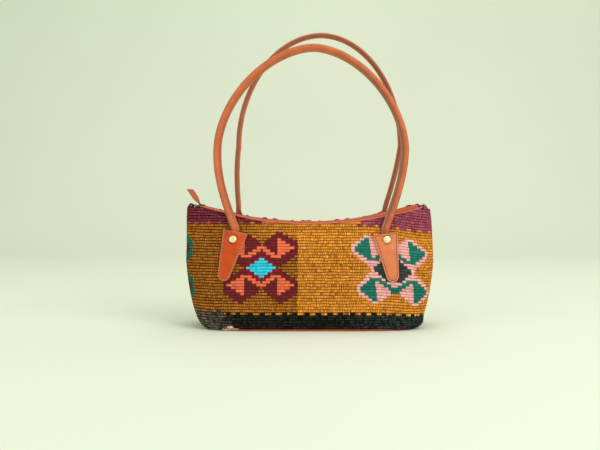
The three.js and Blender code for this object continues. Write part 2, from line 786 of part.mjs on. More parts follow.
TABS.forEach((tab) => {
  addPiece(`tab_${tab.name}`, tabGeometry(tab), rustLeather);
  addPiece(`tongue_${tab.name}`, tongueGeometry(tab), rustLeather);
  addPiece(`rivet_${tab.name}`, rivetGeometry(tab), brass);
  addPiece(`burr_${tab.name}`, burrGeometry(tab), brass);
});

addPiece('front_handle', handleGeometry(FRONT_HANDLE), rustLeather);
addPiece('back_handle', handleGeometry(BACK_HANDLE), rustLeather);

export default bag;
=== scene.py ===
"""Dresses the kilim baguette bag: ribbed wool panels, stitched leather, brass and a plain studio.

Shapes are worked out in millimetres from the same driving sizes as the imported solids, and become
metres when a mesh is made. Nothing is read but the frame.
"""

import logging
import math
from contextlib import contextmanager
from dataclasses import dataclass
from enum import Enum
from typing import Callable, Iterator, Sequence

import bmesh
import bpy
import numpy as np
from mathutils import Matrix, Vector


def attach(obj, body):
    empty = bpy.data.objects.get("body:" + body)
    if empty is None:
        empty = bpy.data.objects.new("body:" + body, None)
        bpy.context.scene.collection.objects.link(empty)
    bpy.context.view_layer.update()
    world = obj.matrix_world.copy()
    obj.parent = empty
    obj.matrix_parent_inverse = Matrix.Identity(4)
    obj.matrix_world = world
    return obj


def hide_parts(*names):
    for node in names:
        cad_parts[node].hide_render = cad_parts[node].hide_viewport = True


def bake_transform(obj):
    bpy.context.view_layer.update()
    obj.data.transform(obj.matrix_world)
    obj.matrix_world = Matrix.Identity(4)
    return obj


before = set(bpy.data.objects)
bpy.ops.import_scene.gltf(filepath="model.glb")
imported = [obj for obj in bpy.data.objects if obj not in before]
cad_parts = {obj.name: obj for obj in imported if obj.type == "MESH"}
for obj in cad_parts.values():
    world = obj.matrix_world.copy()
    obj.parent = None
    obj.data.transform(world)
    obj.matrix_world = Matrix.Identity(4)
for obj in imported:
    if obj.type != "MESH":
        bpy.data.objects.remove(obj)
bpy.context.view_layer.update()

LOG = logging.getLogger("kilim_bag")
MM = 0.001
CLEARANCE = 0.3
RIB_HEIGHT = 0.7
KILIM_THICKNESS = 2.6
# Corners of a solid that are closer than this are one corner.
WELD = 0.002
# The row that turns under, below row 0. A chart keeps it last, in a row that would lie above the rim.
HEM_ROW = -1
QUARTER_TURN = math.pi / 2

Array = np.ndarray
Number = float | Array
Span = tuple[float, float]
Triple = tuple[float, float, float]
Faces = list[tuple[int, ...]]
Material = bpy.types.Material
Object = bpy.types.Object
NodeTree = bpy.types.NodeTree
Socket = bpy.types.NodeSocket


class Named(Enum):
    """A choice whose name is also part of the names of pieces and solids."""

    @property
    def label(self) -> str:
        """The name in small letters."""
        return self.name.lower()


class Face(Named):
    """The two broad sides of the bag, by the sign of their direction along the depth."""

    FRONT = -1
    BACK = 1


class Side(Named):
    """The two ends of the bag, by the sign of their direction along the width."""

    LEFT = -1
    RIGHT = 1


class Body(Enum):
    """The bodies that pieces ride on."""

    BAG = "bag"
    FRONT_HANDLE = "front_handle_loop"
    BACK_HANDLE = "back_handle_loop"
    SLIDER = "slider"
    PULL = "pull"


class Dye(Enum):
    """The yarn colours of the weave, as screen colours."""

    OCHRE = "e69433"
    # BROWN_OCHRE and DARK_PLUM lie on the end away from the light: partly their own dye, partly painted
    # shade.
    BROWN_OCHRE = "aa6820"
    MAROON = "74262a"
    DARK_PLUM = "863244"
    PLUM = "aa5068"
    CRIMSON = "8c1f2c"
    CORAL = "f67650"
    BLUE = "3cd6f4"
    PINK = "fab4b2"
    GREEN = "247a6c"
    TEAL = "14705e"
    SLATE = "3c4644"
    BLACK = "20221e"
    WORN_BLACK = "60574b"
    # Painted sheen: a lighter, cooler black for the part of the black band that faces the light.
    FADED_BLACK = "303937"

    @property
    def rgb(self) -> Array:
        """The colour in linear red, green and blue."""
        return np.array(linear(self.value)[:3])


def smoothstep(value: Number, low: float, high: float) -> Number:
    """Returns a smooth rise from 0 at low to 1 at high."""
    share = np.clip((value - low) / (high - low), 0.0, 1.0)
    return share * share * (3.0 - 2.0 * share)


def lerp(first: Number, second: Number, share: Number) -> Number:
    """Returns the value a share of the way from first to second."""
    return first + (second - first) * share


def bell(value: Number, middle: float, spread: float) -> Number:
    """Returns a smooth peak of 1 at the middle."""
    return np.exp(-((value - middle) / spread) ** 2)


def signed_power(value: Number, power: float) -> Number:
    """Returns the power of a value's size, with the value's sign."""
    return np.sign(value) * np.abs(value) ** power


def unit(vectors: Array) -> Array:
    """Returns the vectors scaled to a length of one."""
    return vectors / np.linalg.norm(vectors, axis=-1, keepdims=True)


def heading(path: Array) -> Array:
    """Returns the direction of a path at each of its points."""
    return unit(np.gradient(path, axis=0))


def distances(path: Array) -> Array:
    """Returns how far along a path each of its points lies."""
    return np.concatenate([[0.0], np.cumsum(np.linalg.norm(np.diff(path, axis=0), axis=1))])


def at_rows(values: Array, places: Array) -> Array:
    """Returns the rows of an array at places between its rows."""
    rows = np.arange(len(values))
    return np.stack([np.interp(places, rows, column) for column in values.T], axis=1)


def linear(code: str) -> tuple[float, float, float, float]:
    """Turns a screen colour into a linear one, by the standard curve of screens.

    Args:
        code: Six hexadecimal digits.

    Returns:
        Linear red, green, blue and an alpha of one.
    """
    shares = [int(code[start:start + 2], 16) / 255 for start in (0, 2, 4)]
    curve = [share / 12.92 if share <= 0.04045 else ((share + 0.055) / 1.055) ** 2.4 for share in shares]
    return (*curve, 1.0)


@dataclass(frozen=True)
class Ease:
    """A smooth rise of one size between two places."""

    size: float
    low: float
    high: float

    def at(self, value: Number) -> Number:
        """Returns how much of the rise is done at a value."""
        return self.size * smoothstep(value, self.low, self.high)


@contextmanager
def opened(mesh: bpy.types.Mesh) -> Iterator[bmesh.types.BMesh]:
    """Opens a mesh for editing, and writes it back when the work is done.

    Args:
        mesh: The mesh that is edited.

    Yields:
        Its editable form.
    """
    shell = bmesh.new()
    shell.from_mesh(mesh)
    yield shell
    shell.to_mesh(mesh)
    shell.free()


def new_object(name: str, data: bpy.types.ID) -> Object:
    """Makes an object and links it to the scene.

    Args:
        name: The object's name.
        data: Its mesh, light or camera.

    Returns:
        The new object.
    """
    made = bpy.data.objects.new(name, data)
    bpy.context.scene.collection.objects.link(made)
    return made


def make_piece(name: str, points: Array, faces: Faces, material: Material) -> Object:
    """Makes a smooth-shaded object with its faces turned outwards.

    Args:
        name: The piece's name.
        points: Its corners in millimetres, one row each.
        faces: Its faces, as rows of corner numbers.
        material: The finish of all its faces.

    Returns:
        The new object.
    """
    mesh = bpy.data.meshes.new(name)
    mesh.from_pydata((np.asarray(points) * MM).tolist(), [], faces)
    with opened(mesh) as shell:
        bmesh.ops.recalc_face_normals(shell, faces=shell.faces)
    mesh.shade_smooth()
    mesh.materials.append(material)
    return new_object(name, mesh)


def skin(name: str, rings: Array, material: Material, caps: int = 2) -> Object:
    """Makes a piece from a row of closed sections.

    Args:
        name: The piece's name.
        rings: Sections by corners by coordinates, in millimetres.
        material: The finish of all its faces.
        caps: 2 to close both ends, 1 to close only the first and 0 to leave both open.

    Returns:
        The new object.
    """
    stations, around = rings.shape[:2]
    corner = np.arange(around)
    after, low = np.roll(corner, -1), (np.arange(stations - 1) * around)[:, None]
    quads = np.stack([low + corner, low + after, low + around + after, low + around + corner], axis=-1)
    ends = [corner[::-1], (stations - 1) * around + corner]
    faces = quads.reshape(-1, 4).tolist() + [end.tolist() for end in ends[:caps]]
    return make_piece(name, rings.reshape(-1, 3), faces, material)


def set_attribute(piece: Object, name: str, values: Array) -> None:
    """Stores one number for each corner of a piece, for its material to read."""
    attribute = piece.data.attributes.new(name, "FLOAT", "POINT")
    attribute.data.foreach_set("value", np.asarray(values, dtype=np.float32).ravel())


def settle(piece: Object, body: Body, replaced: Sequence[str] = ()) -> None:
    """Puts a finished piece on its body and reports it.

    Args:
        piece: The finished object.
        body: The body that it rides on.
        replaced: The solids that it stands for.
    """
    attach(piece, body.value)
    if replaced:
        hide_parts(*replaced)
    LOG.info("%s rides on %s, %d faces", piece.name, body.value, len(piece.data.polygons))


def dress(node: str, material: Material) -> None:
    """Gives a solid that stays in view its finish.

    Args:
        node: The solid's name.
        material: The finish for all its faces.
    """
    solid = bpy.data.objects[node]
    solid.data.materials.clear()
    solid.data.materials.append(material)
    LOG.info("%s keeps its solid and takes %s", node, material.name)


def apply_modifiers(piece: Object) -> None:
    """Turns a piece's modifiers into a plain mesh.

    Args:
        piece: The object whose evaluated shape replaces its mesh.
    """
    depsgraph = bpy.context.evaluated_depsgraph_get()
    evaluated = piece.evaluated_get(depsgraph)
    mesh = bpy.data.meshes.new_from_object(evaluated, preserve_all_data_layers=True, depsgraph=depsgraph)
    piece.modifiers.clear()
    piece.data = mesh
    mesh.name = piece.name


def softened(node: str, name: str, width: float, material: Material) -> Object:
    """Copies a solid and rounds its edges.

    Args:
        node: The solid's name.
        name: The new piece's name.
        width: How far the rounding reaches from each edge, in millimetres.
        material: The new piece's finish.

    Returns:
        The rounded copy, as a plain mesh.
    """
    mesh = bpy.data.objects[node].data.copy()
    with opened(mesh) as shell:
        bmesh.ops.remove_doubles(shell, verts=shell.verts, dist=WELD * MM)
        bmesh.ops.dissolve_limit(shell, angle_limit=math.radians(1), verts=shell.verts, edges=shell.edges)
    piece = new_object(name, mesh)
    rounding = piece.modifiers.new("rounded edges", "BEVEL")
    rounding.width = width * MM
    rounding.segments = 3
    rounding.angle_limit = math.radians(30)
    rounding.use_clamp_overlap = True
    apply_modifiers(piece)
    piece.data.materials.clear()
    piece.data.materials.append(material)
    piece.data.shade_smooth()
    return piece


def merge_close(piece: Object, distance: float = 0.01) -> None:
    """Merges points that share a place, and turns the faces outwards again.

    Args:
        piece: The object that is cleaned.
        distance: How close points are before they merge, in millimetres.
    """
    with opened(piece.data) as shell:
        bmesh.ops.remove_doubles(shell, verts=shell.verts, dist=distance * MM)
        bmesh.ops.dissolve_degenerate(shell, edges=shell.edges, dist=distance * MM / 10)
        bmesh.ops.recalc_face_normals(shell, faces=shell.faces)
    piece.data.shade_smooth()


class Graph:
    """A short way to lay nodes into one shader or geometry tree."""

    def __init__(self, tree: NodeTree) -> None:
        """Keeps the tree that nodes are added to."""
        self.tree = tree

    def add(self, kind: str, inputs: dict | None = None, **settings: object) -> bpy.types.Node:
        """Adds a node, sets its options and links or sets its inputs.

        Args:
            kind: The node's type name.
            inputs: Sockets to link from, or plain values, by input name or number.
            **settings: The node's own options.

        Returns:
            The new node.
        """
        node = self.tree.nodes.new(kind)
        for option, value in settings.items():
            setattr(node, option, value)
        for key, value in (inputs or {}).items():
            if isinstance(value, Socket):
                self.tree.links.new(value, node.inputs[key])
            else:
                node.inputs[key].default_value = value
        return node

    def get(self, kind: str, inputs: dict | None = None, output: int | str = 0, **settings: object) -> Socket:
        """Adds a node and returns one of its outputs."""
        return self.add(kind, inputs, **settings).outputs[output]

    def calc(self, operation: str, *values: object) -> Socket:
        """Adds a Math node and returns its result."""
        return self.get("ShaderNodeMath", dict(enumerate(values)), operation=operation)

    def plus(self, first: object, second: object) -> Socket:
        """Returns the sum of two values."""
        return self.calc("ADD", first, second)

    def minus(self, first: object, second: object) -> Socket:
        """Returns the first value less the second."""
        return self.calc("SUBTRACT", first, second)

    def times(self, first: object, second: object) -> Socket:
        """Returns the product of two values."""
        return self.calc("MULTIPLY", first, second)

    def span(
        self, value: object, low: float, high: float, to_low: float = 0.0, to_high: float = 1.0
    ) -> Socket:
        """Maps a value from the range low to high to another range, and holds it at both ends."""
        inputs = dict(enumerate((value, low, high, to_low, to_high)))
        return self.get("ShaderNodeMapRange", inputs, clamp=True)

    def mix(self, share: object, first: object, second: object, blend: str = "MIX") -> Socket:
        """Lays a share of the second colour over the first."""
        inputs = {0: share, 6: first, 7: second}
        return self.get("ShaderNodeMix", inputs, 2, data_type="RGBA", blend_type=blend)

    def toned(self, colour: object, tones: Sequence[object]) -> Socket:
        """Multiplies a colour by tones of red, green and blue."""
        shade = self.get("ShaderNodeCombineColor", dict(enumerate(tones)))
        return self.mix(1.0, colour, shade, "MULTIPLY")

    def noise(self, vector: object, scale: float, detail: float) -> Socket:
        """Adds a noise texture and returns its value."""
        return self.get("ShaderNodeTexNoise", {"Vector": vector, "Scale": scale, "Detail": detail})

    def stretched(self, vector: object, scale: Triple) -> Socket:
        """Scales a vector along its axes."""
        return self.get("ShaderNodeMapping", {"Vector": vector, "Scale": scale})

    def parts(self, vector: object) -> Sequence[Socket]:
        """Splits a vector into its three parts."""
        return self.add("ShaderNodeSeparateXYZ", {0: vector}).outputs

    def vector(self, *parts: object) -> Socket:
        """Joins up to three values into a vector."""
        return self.get("ShaderNodeCombineXYZ", dict(enumerate(parts)))

    def attribute(self, name: str, output: str = "Fac") -> Socket:
        """Reads one of the piece's own attributes."""
        return self.get("ShaderNodeAttribute", None, output, attribute_name=name)

    def place(self) -> Socket:
        """Returns the piece's Object coordinates."""
        return self.get("ShaderNodeTexCoord", None, "Object")

    def bump(self, height: object, strength: float, distance: float) -> Socket:
        """Turns a height into a normal, where a height of one stands for a distance in millimetres."""
        return self.get("ShaderNodeBump", {"Height": height, "Strength": strength, "Distance": distance * MM})


def start_group(
    name: str, kind: str, inputs: dict[str, str], outputs: dict[str, str]
) -> tuple[Graph, object]:
    """Starts a node group.

    Args:
        name: The group's name.
        kind: The type name of its tree.
        inputs: The kinds of its inputs, by name.
        outputs: The kinds of its outputs, by name.

    Returns:
        The group's graph, and the sockets that bring its inputs.
    """
    graph = Graph(bpy.data.node_groups.new(name, kind))
    for direction, kinds in (("INPUT", inputs), ("OUTPUT", outputs)):
        for label, stuff in kinds.items():
            graph.tree.interface.new_socket(label, in_out=direction, socket_type=f"NodeSocket{stuff}")
    return graph, graph.add("NodeGroupInput").outputs


@dataclass
class ShaderGroups:
    """The effects that several finishes share, each built once.

    A noise is given by its scale and its detail.
    """

    noise_span: Span = (0.3, 0.7)
    cloud: Span = (60.0, 3.0)
    speck: Span = (900.0, 4.0)
    speck_tone: float = 0.35
    speck_roughness: float = 0.4
    pore_scale: float = 1300.0
    pore_size: float = 0.25
    pore_tone: float = 0.86
    pore_height: float = 0.6
    rubbed_span: Span = (0.3, 0.6)
    rubbed_least: float = 0.55
    # grime is the near-black brown of the painted shade, and grime_share how far it is mixed in.
    grime: str = "2a0d05"
    grime_share: float = 0.78
    hide_roughness: Span = (0.4, 0.54)
    slub: Span = (400.0, 3.0)
    slub_tones: Span = (-0.1, 0.1)
    weave_tones: Span = (0.72, 1.0)
    scratch: Span = (1.0, 3.0)
    scratch_stretch: Triple = (400.0, 2600.0, 900.0)
    scratch_roughness: Span = (0.3, 0.42)
    dull: Span = (420.0, 3.0)
    dull_span: Span = (0.42, 0.68)
    dull_most: float = 0.55
    dull_roughness: float = 0.25

    def __post_init__(self) -> None:
        """Builds every group."""
        self.hide = self._hide()
        self.cloth = self._cloth()
        self.wear = self._wear()

    def _hide(self) -> NodeTree:
        """Builds leather grain: soft mottling, pores, a burnished edge (which on the handles also paints a
        grey sheen) and painted shade in seams, grooves and round rivets.

        Returns:
            The group, with a colour, a roughness and a height.
        """
        inputs = {
            "Colour": "Color", "Edge Colour": "Color", "Edge": "Float", "Seam": "Float", "Mottle": "Float",
        }
        outputs = {"Colour": "Color", "Roughness": "Float", "Height": "Float"}
        graph, given = start_group("hide grain", "ShaderNodeTree", inputs, outputs)
        place = graph.place()
        broad, fine = graph.noise(place, *self.cloud), graph.noise(place, *self.speck)
        pores = graph.get("ShaderNodeTexVoronoi", {"Vector": place, "Scale": self.pore_scale}, "Distance")
        cloud = graph.times(graph.minus(broad, 0.5), given["Mottle"])
        speck = graph.times(graph.minus(fine, 0.5), self.speck_tone)
        pit = graph.span(pores, 0.0, self.pore_size, self.pore_tone, 1.0)
        tone = graph.times(graph.plus(graph.plus(cloud, speck), 1.0), pit)
        # The edge share is the raw edge's own colour and, on the handles, a painted grey sheen.
        rubbed = graph.times(given["Edge"], graph.span(fine, *self.rubbed_span, self.rubbed_least, 1.0))
        worn = graph.mix(rubbed, graph.toned(given["Colour"], (tone, tone, tone)), given["Edge Colour"])
        # Painted shade, laid where the piece's shade share attribute asks.
        shaded_colour = graph.mix(self.grime_share, worn, linear(self.grime))
        colour = graph.mix(given["Seam"], worn, shaded_colour)
        rough = graph.span(broad, *self.noise_span, *self.hide_roughness)
        rough = graph.plus(rough, graph.times(speck, self.speck_roughness))
        height = graph.plus(graph.times(pores, self.pore_height), fine)
        graph.add("NodeGroupOutput", {"Colour": colour, "Roughness": rough, "Height": height})
        return graph.tree

    def _cloth(self) -> NodeTree:
        """Builds a fine over-and-under weave for lining and tape.

        Returns:
            The group, with a colour and a height.
        """
        inputs, outputs = {"Colour": "Color", "Threads": "Float"}, {"Colour": "Color", "Height": "Float"}
        graph, given = start_group("cloth weave", "ShaderNodeTree", inputs, outputs)
        place = graph.place()
        x, y, z = graph.parts(place)
        slants = (graph.plus(x, y), graph.minus(x, z))
        across, along = (graph.calc("SINE", graph.times(slant, given["Threads"])) for slant in slants)
        cross = graph.times(across, along)
        slub = graph.span(graph.noise(place, *self.slub), *self.noise_span, *self.slub_tones)
        tone = graph.plus(graph.span(cross, -1.0, 1.0, *self.weave_tones), slub)
        colour = graph.toned(given["Colour"], (tone, tone, tone))
        graph.add("NodeGroupOutput", {"Colour": colour, "Height": cross})
        return graph.tree

    def _wear(self) -> NodeTree:
        """Builds handled metal: fine scratches, dull patches and tarnish in them.

        Returns:
            The group, with a colour, a roughness and a height.
        """
        inputs = {"Colour": "Color", "Tarnish": "Color", "Polish": "Float"}
        outputs = {"Colour": "Color", "Roughness": "Float", "Height": "Float"}
        graph, given = start_group("handled metal", "ShaderNodeTree", inputs, outputs)
        place = graph.place()
        scratch = graph.noise(graph.stretched(place, self.scratch_stretch), *self.scratch)
        dull = graph.span(graph.noise(place, *self.dull), *self.dull_span, 0.0, self.dull_most)
        colour = graph.mix(dull, given["Colour"], given["Tarnish"])
        rough = graph.span(scratch, *self.noise_span, *self.scratch_roughness)
        rough = graph.plus(rough, graph.times(dull, self.dull_roughness))
        rough = graph.minus(rough, given["Polish"])
        graph.add("NodeGroupOutput", {"Colour": colour, "Roughness": rough, "Height": scratch})
        return graph.tree


@dataclass(frozen=True)
class Finish:
    """A material's name, with the steps that all finishes share."""

    name: str

    def start(self) -> Graph:
        """Starts the material.

        Returns:
            The graph of its empty tree.
        """
        material = bpy.data.materials.new(self.name)
        material.use_nodes = True
        material.node_tree.nodes.clear()
        return Graph(material.node_tree)

    def close(self, graph: Graph, shader: dict[str, object]) -> Material:
        """Adds the shader that the tree feeds.

        Args:
            graph: The material's graph.
            shader: Sockets or plain values for the shader's inputs.

        Returns:
            The finished material.
        """
        surface = graph.get("ShaderNodeBsdfPrincipled", shader)
        graph.add("ShaderNodeOutputMaterial", {"Surface": surface})
        return bpy.data.materials[self.name]


@dataclass(frozen=True)
class WoolFinish(Finish):
    """Hand-spun wool on tight ribs, coloured by the panel's own dye attribute, with painted shade in the
    grooves and the gaps between beads and a painted highlight on the crests.
    """

    # groove is the light left by painted shade at the bottom of a row's groove and gap the painted shade
    # between beads; crest_light is a painted highlight on the crests, and the fades deepen the colour in the
    # painted shade.
    groove: float = 0.15
    gap: float = 0.74
    fleck: float = 0.7
    green_fade: float = 1.2
    blue_fade: float = 1.4
    twist: float = 0.35
    twist_tones: Span = (0.93, 1.05)
    rib_power: float = 1.8
    crest_share: float = 0.8
    crest_light: float = 1.14
    fibre: Span = (1.3, 4.0)
    fibre_stretch: Triple = (0.9, 5.0, 1.0)
    fibre_span: Span = (0.25, 0.75)
    roughness: float = 0.95
    specular: float = 0.12
    relief: Span = (0.6, 0.5)

    def build(self) -> Material:
        """Builds the material.

        Returns:
            The wool, with painted shade in the grooves between rows and the gaps between beads.
        """
        graph = self.start()
        weave = graph.get("ShaderNodeUVMap", uv_map="weave")
        along, up, _ = graph.parts(weave)
        across = graph.calc("ABSOLUTE", graph.minus(graph.calc("FRACT", up), 0.5))
        crest = graph.span(graph.calc("POWER", graph.times(across, 2.0), self.rib_power), 0.0, 1.0, 1.0, 0.0)
        fibre = graph.noise(graph.stretched(weave, self.fibre_stretch), *self.fibre)
        slant = graph.plus(along, graph.times(up, self.twist))
        twist = graph.calc("SINE", graph.times(slant, math.tau))
        # Painted shade and highlight: darker at the bottom of each groove, lighter on the crest, as deep as
        # the dye attribute's alpha asks.
        light = graph.minus(graph.span(crest, 0.0, self.crest_share, self.groove, self.crest_light), 1.0)
        light = graph.calc("MULTIPLY_ADD", light, graph.attribute("dye", "Alpha"), 1.0)
        # The first tone is painted shade in the gaps between beads; the others are the yarn's own flecks and
        # twist.
        shades = (
            graph.span(graph.attribute("gap"), 0.0, 1.0, 1.0, 1.0 - self.gap),
            graph.span(fibre, *self.fibre_span, 1.0 - self.fleck / 2, 1.0 + self.fleck / 2),
            graph.span(twist, -1.0, 1.0, *self.twist_tones),
        )
        for shade in shades:
            light = graph.times(light, shade)
        # Deeper colour where the painted shade is darker.
        fades = [graph.calc("POWER", light, fade) for fade in (self.green_fade, self.blue_fade)]
        height = graph.plus(fibre, graph.times(twist, self.twist))
        return self.close(graph, {
            "Base Color": graph.toned(graph.attribute("dye", "Color"), (light, *fades)),
            "Roughness": self.roughness, "Specular IOR Level": self.specular,
            "Normal": graph.bump(height, *self.relief),
        })


@dataclass(frozen=True)
class LeatherFinish(Finish):
    """Oiled leather with a burnished edge colour, which on the handles also paints a grey sheen, and painted
    shade where the shade share asks.
    """

    colour: str
    edge: str
    mottle: float = 0.7
    coat: float = 0.06
    coat_roughness: float = 0.3
    specular: float = 0.22
    relief: Span = (0.35, 0.25)

    def build(self, groups: ShaderGroups) -> Material:
        """Builds the material.

        Args:
            groups: The shared effects.

        Returns:
            The leather.
        """
        graph = self.start()
        hide = graph.add("ShaderNodeGroup", node_tree=groups.hide, inputs={
            "Colour": linear(self.colour), "Edge Colour": linear(self.edge), "Mottle": self.mottle,
            "Edge": graph.attribute("edge"), "Seam": graph.attribute("seam"),
        }).outputs
        return self.close(graph, {
            "Base Color": hide["Colour"], "Roughness": hide["Roughness"], "Specular IOR Level": self.specular,
            "Coat Weight": self.coat, "Coat Roughness": self.coat_roughness,
            "Normal": graph.bump(hide["Height"], *self.relief),
        })


@dataclass(frozen=True)
class ClothFinish(Finish):
    """Plain woven cotton or tape."""

    colour: str
    threads: float
    roughness: float = 0.85
    sheen: float = 0.2
    relief: Span = (0.5, 0.15)

    def build(self, groups: ShaderGroups) -> Material:
        """Builds the material.

        Args:
            groups: The shared effects.

        Returns:
            The cloth.
        """
        graph = self.start()
        inputs = {"Colour": linear(self.colour), "Threads": self.threads}
        cloth = graph.add("ShaderNodeGroup", inputs, node_tree=groups.cloth).outputs
        return self.close(graph, {
            "Base Color": cloth["Colour"], "Roughness": self.roughness, "Sheen Weight": self.sheen,
            "Normal": graph.bump(cloth["Height"], *self.relief),
        })


@dataclass(frozen=True)
class MetalFinish(Finish):
    """Handled metal with tarnish."""

    colour: str
    tarnish: str
    metallic: float = 1.0
    polish: float = 0.0
    relief: Span = (0.15, 0.05)

    def build(self, groups: ShaderGroups) -> Material:
        """Builds the material.

        Args:
            groups: The shared effects.

        Returns:
            The metal.
        """
        graph = self.start()
        inputs = {"Colour": linear(self.colour), "Tarnish": linear(self.tarnish), "Polish": self.polish}
        wear = graph.add("ShaderNodeGroup", inputs, node_tree=groups.wear).outputs
        return self.close(graph, {
            "Base Color": wear["Colour"], "Roughness": wear["Roughness"], "Metallic": self.metallic,
            "Normal": graph.bump(wear["Height"], *self.relief),
        })


@dataclass(frozen=True)
class SpeckleFinish(Finish):
    """Two tones mixed by fine noise, as in waxed thread or pressed board."""

    colour: str
    speck: str
    scale: float = 2400.0
    detail: float = 2.0
    span: Span = (0.35, 0.65)
    roughness: float = 0.6
    sheen: float = 0.2
    relief: Span = (0.4, 0.15)

    def build(self) -> Material:
        """Builds the material.

        Returns:
            The thread or board.
        """
        graph = self.start()
        grain = graph.noise(graph.place(), self.scale, self.detail)
        return self.close(graph, {
            "Base Color": graph.mix(graph.span(grain, *self.span), linear(self.colour), linear(self.speck)),
            "Roughness": self.roughness, "Sheen Weight": self.sheen,
            "Normal": graph.bump(grain, *self.relief),
        })


@dataclass(frozen=True)
class StageFinish(Finish):
    """Matt paint for the floor and backdrop."""

    colour: str
    cloud: Span = (1.5, 2.0)
    cloud_span: Span = (0.3, 0.7)
    tones: Span = (0.97, 1.0)
    roughness: float = 0.9
    specular: float = 0.2

    def build(self) -> Material:
        """Builds the material.

        Returns:
            The paint, very slightly uneven.
        """
        graph = self.start()
        tone = graph.span(graph.noise(graph.place(), *self.cloud), *self.cloud_span, *self.tones)
        colour = graph.toned(linear(self.colour), (tone, tone, tone))
        return self.close(graph, {
            "Base Color": colour, "Roughness": self.roughness, "Specular IOR Level": self.specular,
        })


class Finishes:
    """Every material of the bag and its studio."""

    def __init__(self) -> None:
        """Builds the materials."""
        groups = ShaderGroups()
        self.wool = WoolFinish("ribbed wool").build()
        # The handles' grey-taupe edge colours also paint the grey sheen on the right-hand part of each
        # handle.
        self.handle = LeatherFinish("handle leather", "c96a40", "94705f", coat=0.12).build(groups)
        self.back_handle = LeatherFinish("back handle leather", "c06a44", "8d5a44", coat=0.12).build(groups)
        self.rust_tab = LeatherFinish("rust tab leather", "c3480a", "dc7a3c").build(groups)
        # The right tabs' paler leather is partly the leather's own tone and partly painted light on the lit
        # right end.
        self.pale_tab = LeatherFinish("pale tab leather", "d87a4e", "e08e60").build(groups)
        self.facing = LeatherFinish("facing leather", "c8572c", "d06a40").build(groups)
        self.base = LeatherFinish("base leather", "c45220", "c45220").build(groups)
        self.thread = SpeckleFinish("tan thread", "a87850", "7c5236").build()
        self.grey_thread = SpeckleFinish("grey thread", "b3a096", "7c665c").build()
        self.dark_thread = SpeckleFinish("brown thread", "7a4028", "542a1a").build()
        self.brass = MetalFinish("brass", "f4e9b8", "d0b878", metallic=0.85).build(groups)
        self.rivet_brass = MetalFinish(
            "rivet brass", "fdf0be", "d8c27c", metallic=0.8, polish=-0.06,
        ).build(groups)
        self.gunmetal = MetalFinish("gunmetal", "2c2a2e", "1a191b").build(groups)
        self.tape = ClothFinish("zip tape cotton", "3a3233", threads=5200.0).build(groups)
        self.cotton = ClothFinish("lining cotton", "7d6a4e", threads=4200.0).build(groups)
        self.board = SpeckleFinish(
            "pressed board", "7b7468", "968e80", scale=700.0, detail=5.0, span=(0.4, 0.65), roughness=0.95,
            sheen=0.0, relief=(0.3, 0.2),
        ).build()
        self.stage = StageFinish("studio paint", "e9eedd").build()


@dataclass
class RepeatTrees:
    """The Geometry Nodes trees that lay a small shape on each point of a row."""

    segments: int = 8
    rings: int = 5
    tooth_head: Triple = (1.08, 0.5, 0.94)

    def __post_init__(self) -> None:
        """Builds both trees."""
        self.stitch = self._tree("stitch row", self._stitch)
        self.tooth = self._tree("tooth row", self._tooth)

    def _tree(self, name: str, shape: Callable[[Graph, Socket, Socket], Socket]) -> NodeTree:
        """Builds a tree that turns points with along and up directions into shapes.

        Args:
            name: The tree's name.
            shape: The method that adds the repeated shape, from a ball and the shape's own size.

        Returns:
            The tree, with named inputs for its sizes, seed and material.
        """
        inputs = {
            "Points": "Geometry", "Length": "Float", "Width": "Float", "Height": "Float",
            "Scatter": "Float", "Seed": "Int", "Material": "Material",
        }
        graph, given = start_group(name, "GeometryNodeTree", inputs, {"Pieces": "Geometry"})
        along, upward = (
            graph.get("GeometryNodeInputNamedAttribute", {"Name": label}, data_type="FLOAT_VECTOR")
            for label in ("along", "up")
        )
        align = "FunctionNodeAlignRotationToVector"
        first = graph.get(align, {"Vector": along}, axis="X")
        turned = graph.get(align, {"Rotation": first, "Vector": upward}, axis="Z", pivot_axis="X")
        scatter = given["Scatter"]
        limits = {2: graph.minus(1.0, scatter), 3: graph.plus(1.0, scatter), 8: given["Seed"]}
        scale = graph.get("FunctionNodeRandomValue", limits, 1, data_type="FLOAT")
        sizes = {"Segments": self.segments, "Rings": self.rings, "Radius": 0.5}
        ball = graph.get("GeometryNodeMeshUVSphere", sizes)
        size = graph.vector(given["Length"], given["Width"], given["Height"])
        laid = graph.get("GeometryNodeInstanceOnPoints", {
            "Points": graph.get("GeometryNodeMeshToPoints", {"Mesh": given["Points"]}),
            "Instance": shape(graph, ball, size), "Rotation": turned, "Scale": scale,
        })
        real = graph.get("GeometryNodeRealizeInstances", {0: laid})
        smooth = graph.get("GeometryNodeSetShadeSmooth", {0: real})
        coated = graph.get("GeometryNodeSetMaterial", {0: smooth, "Material": given["Material"]})
        graph.add("NodeGroupOutput", {0: coated})
        return graph.tree

    def _stitch(self, graph: Graph, ball: Socket, size: Socket) -> Socket:
        """Adds one plump stitch of the tree's own sizes."""
        return graph.get("GeometryNodeTransform", {"Geometry": ball, "Scale": size})

    def _tooth(self, graph: Graph, ball: Socket, size: Socket) -> Socket:
        """Adds one zip tooth, a block on the tape with a rounded head beyond it.

        Args:
            graph: The tree's graph.
            ball: The ball that the head is made from.
            size: The block's length, width and height.

        Returns:
            The block and its head.
        """
        block = graph.get("GeometryNodeMeshCube", {"Size": size})
        shift = graph.vector(0.0, graph.times(graph.parts(size)[1], 0.5))
        grown = graph.get("ShaderNodeVectorMath", {0: size, 1: self.tooth_head}, operation="MULTIPLY")
        head = graph.get("GeometryNodeTransform", {"Geometry": ball, "Translation": shift, "Scale": grown})
        joined = graph.add("GeometryNodeJoinGeometry", {0: block})
        graph.tree.links.new(head, joined.inputs[0])
        return joined.outputs[0]


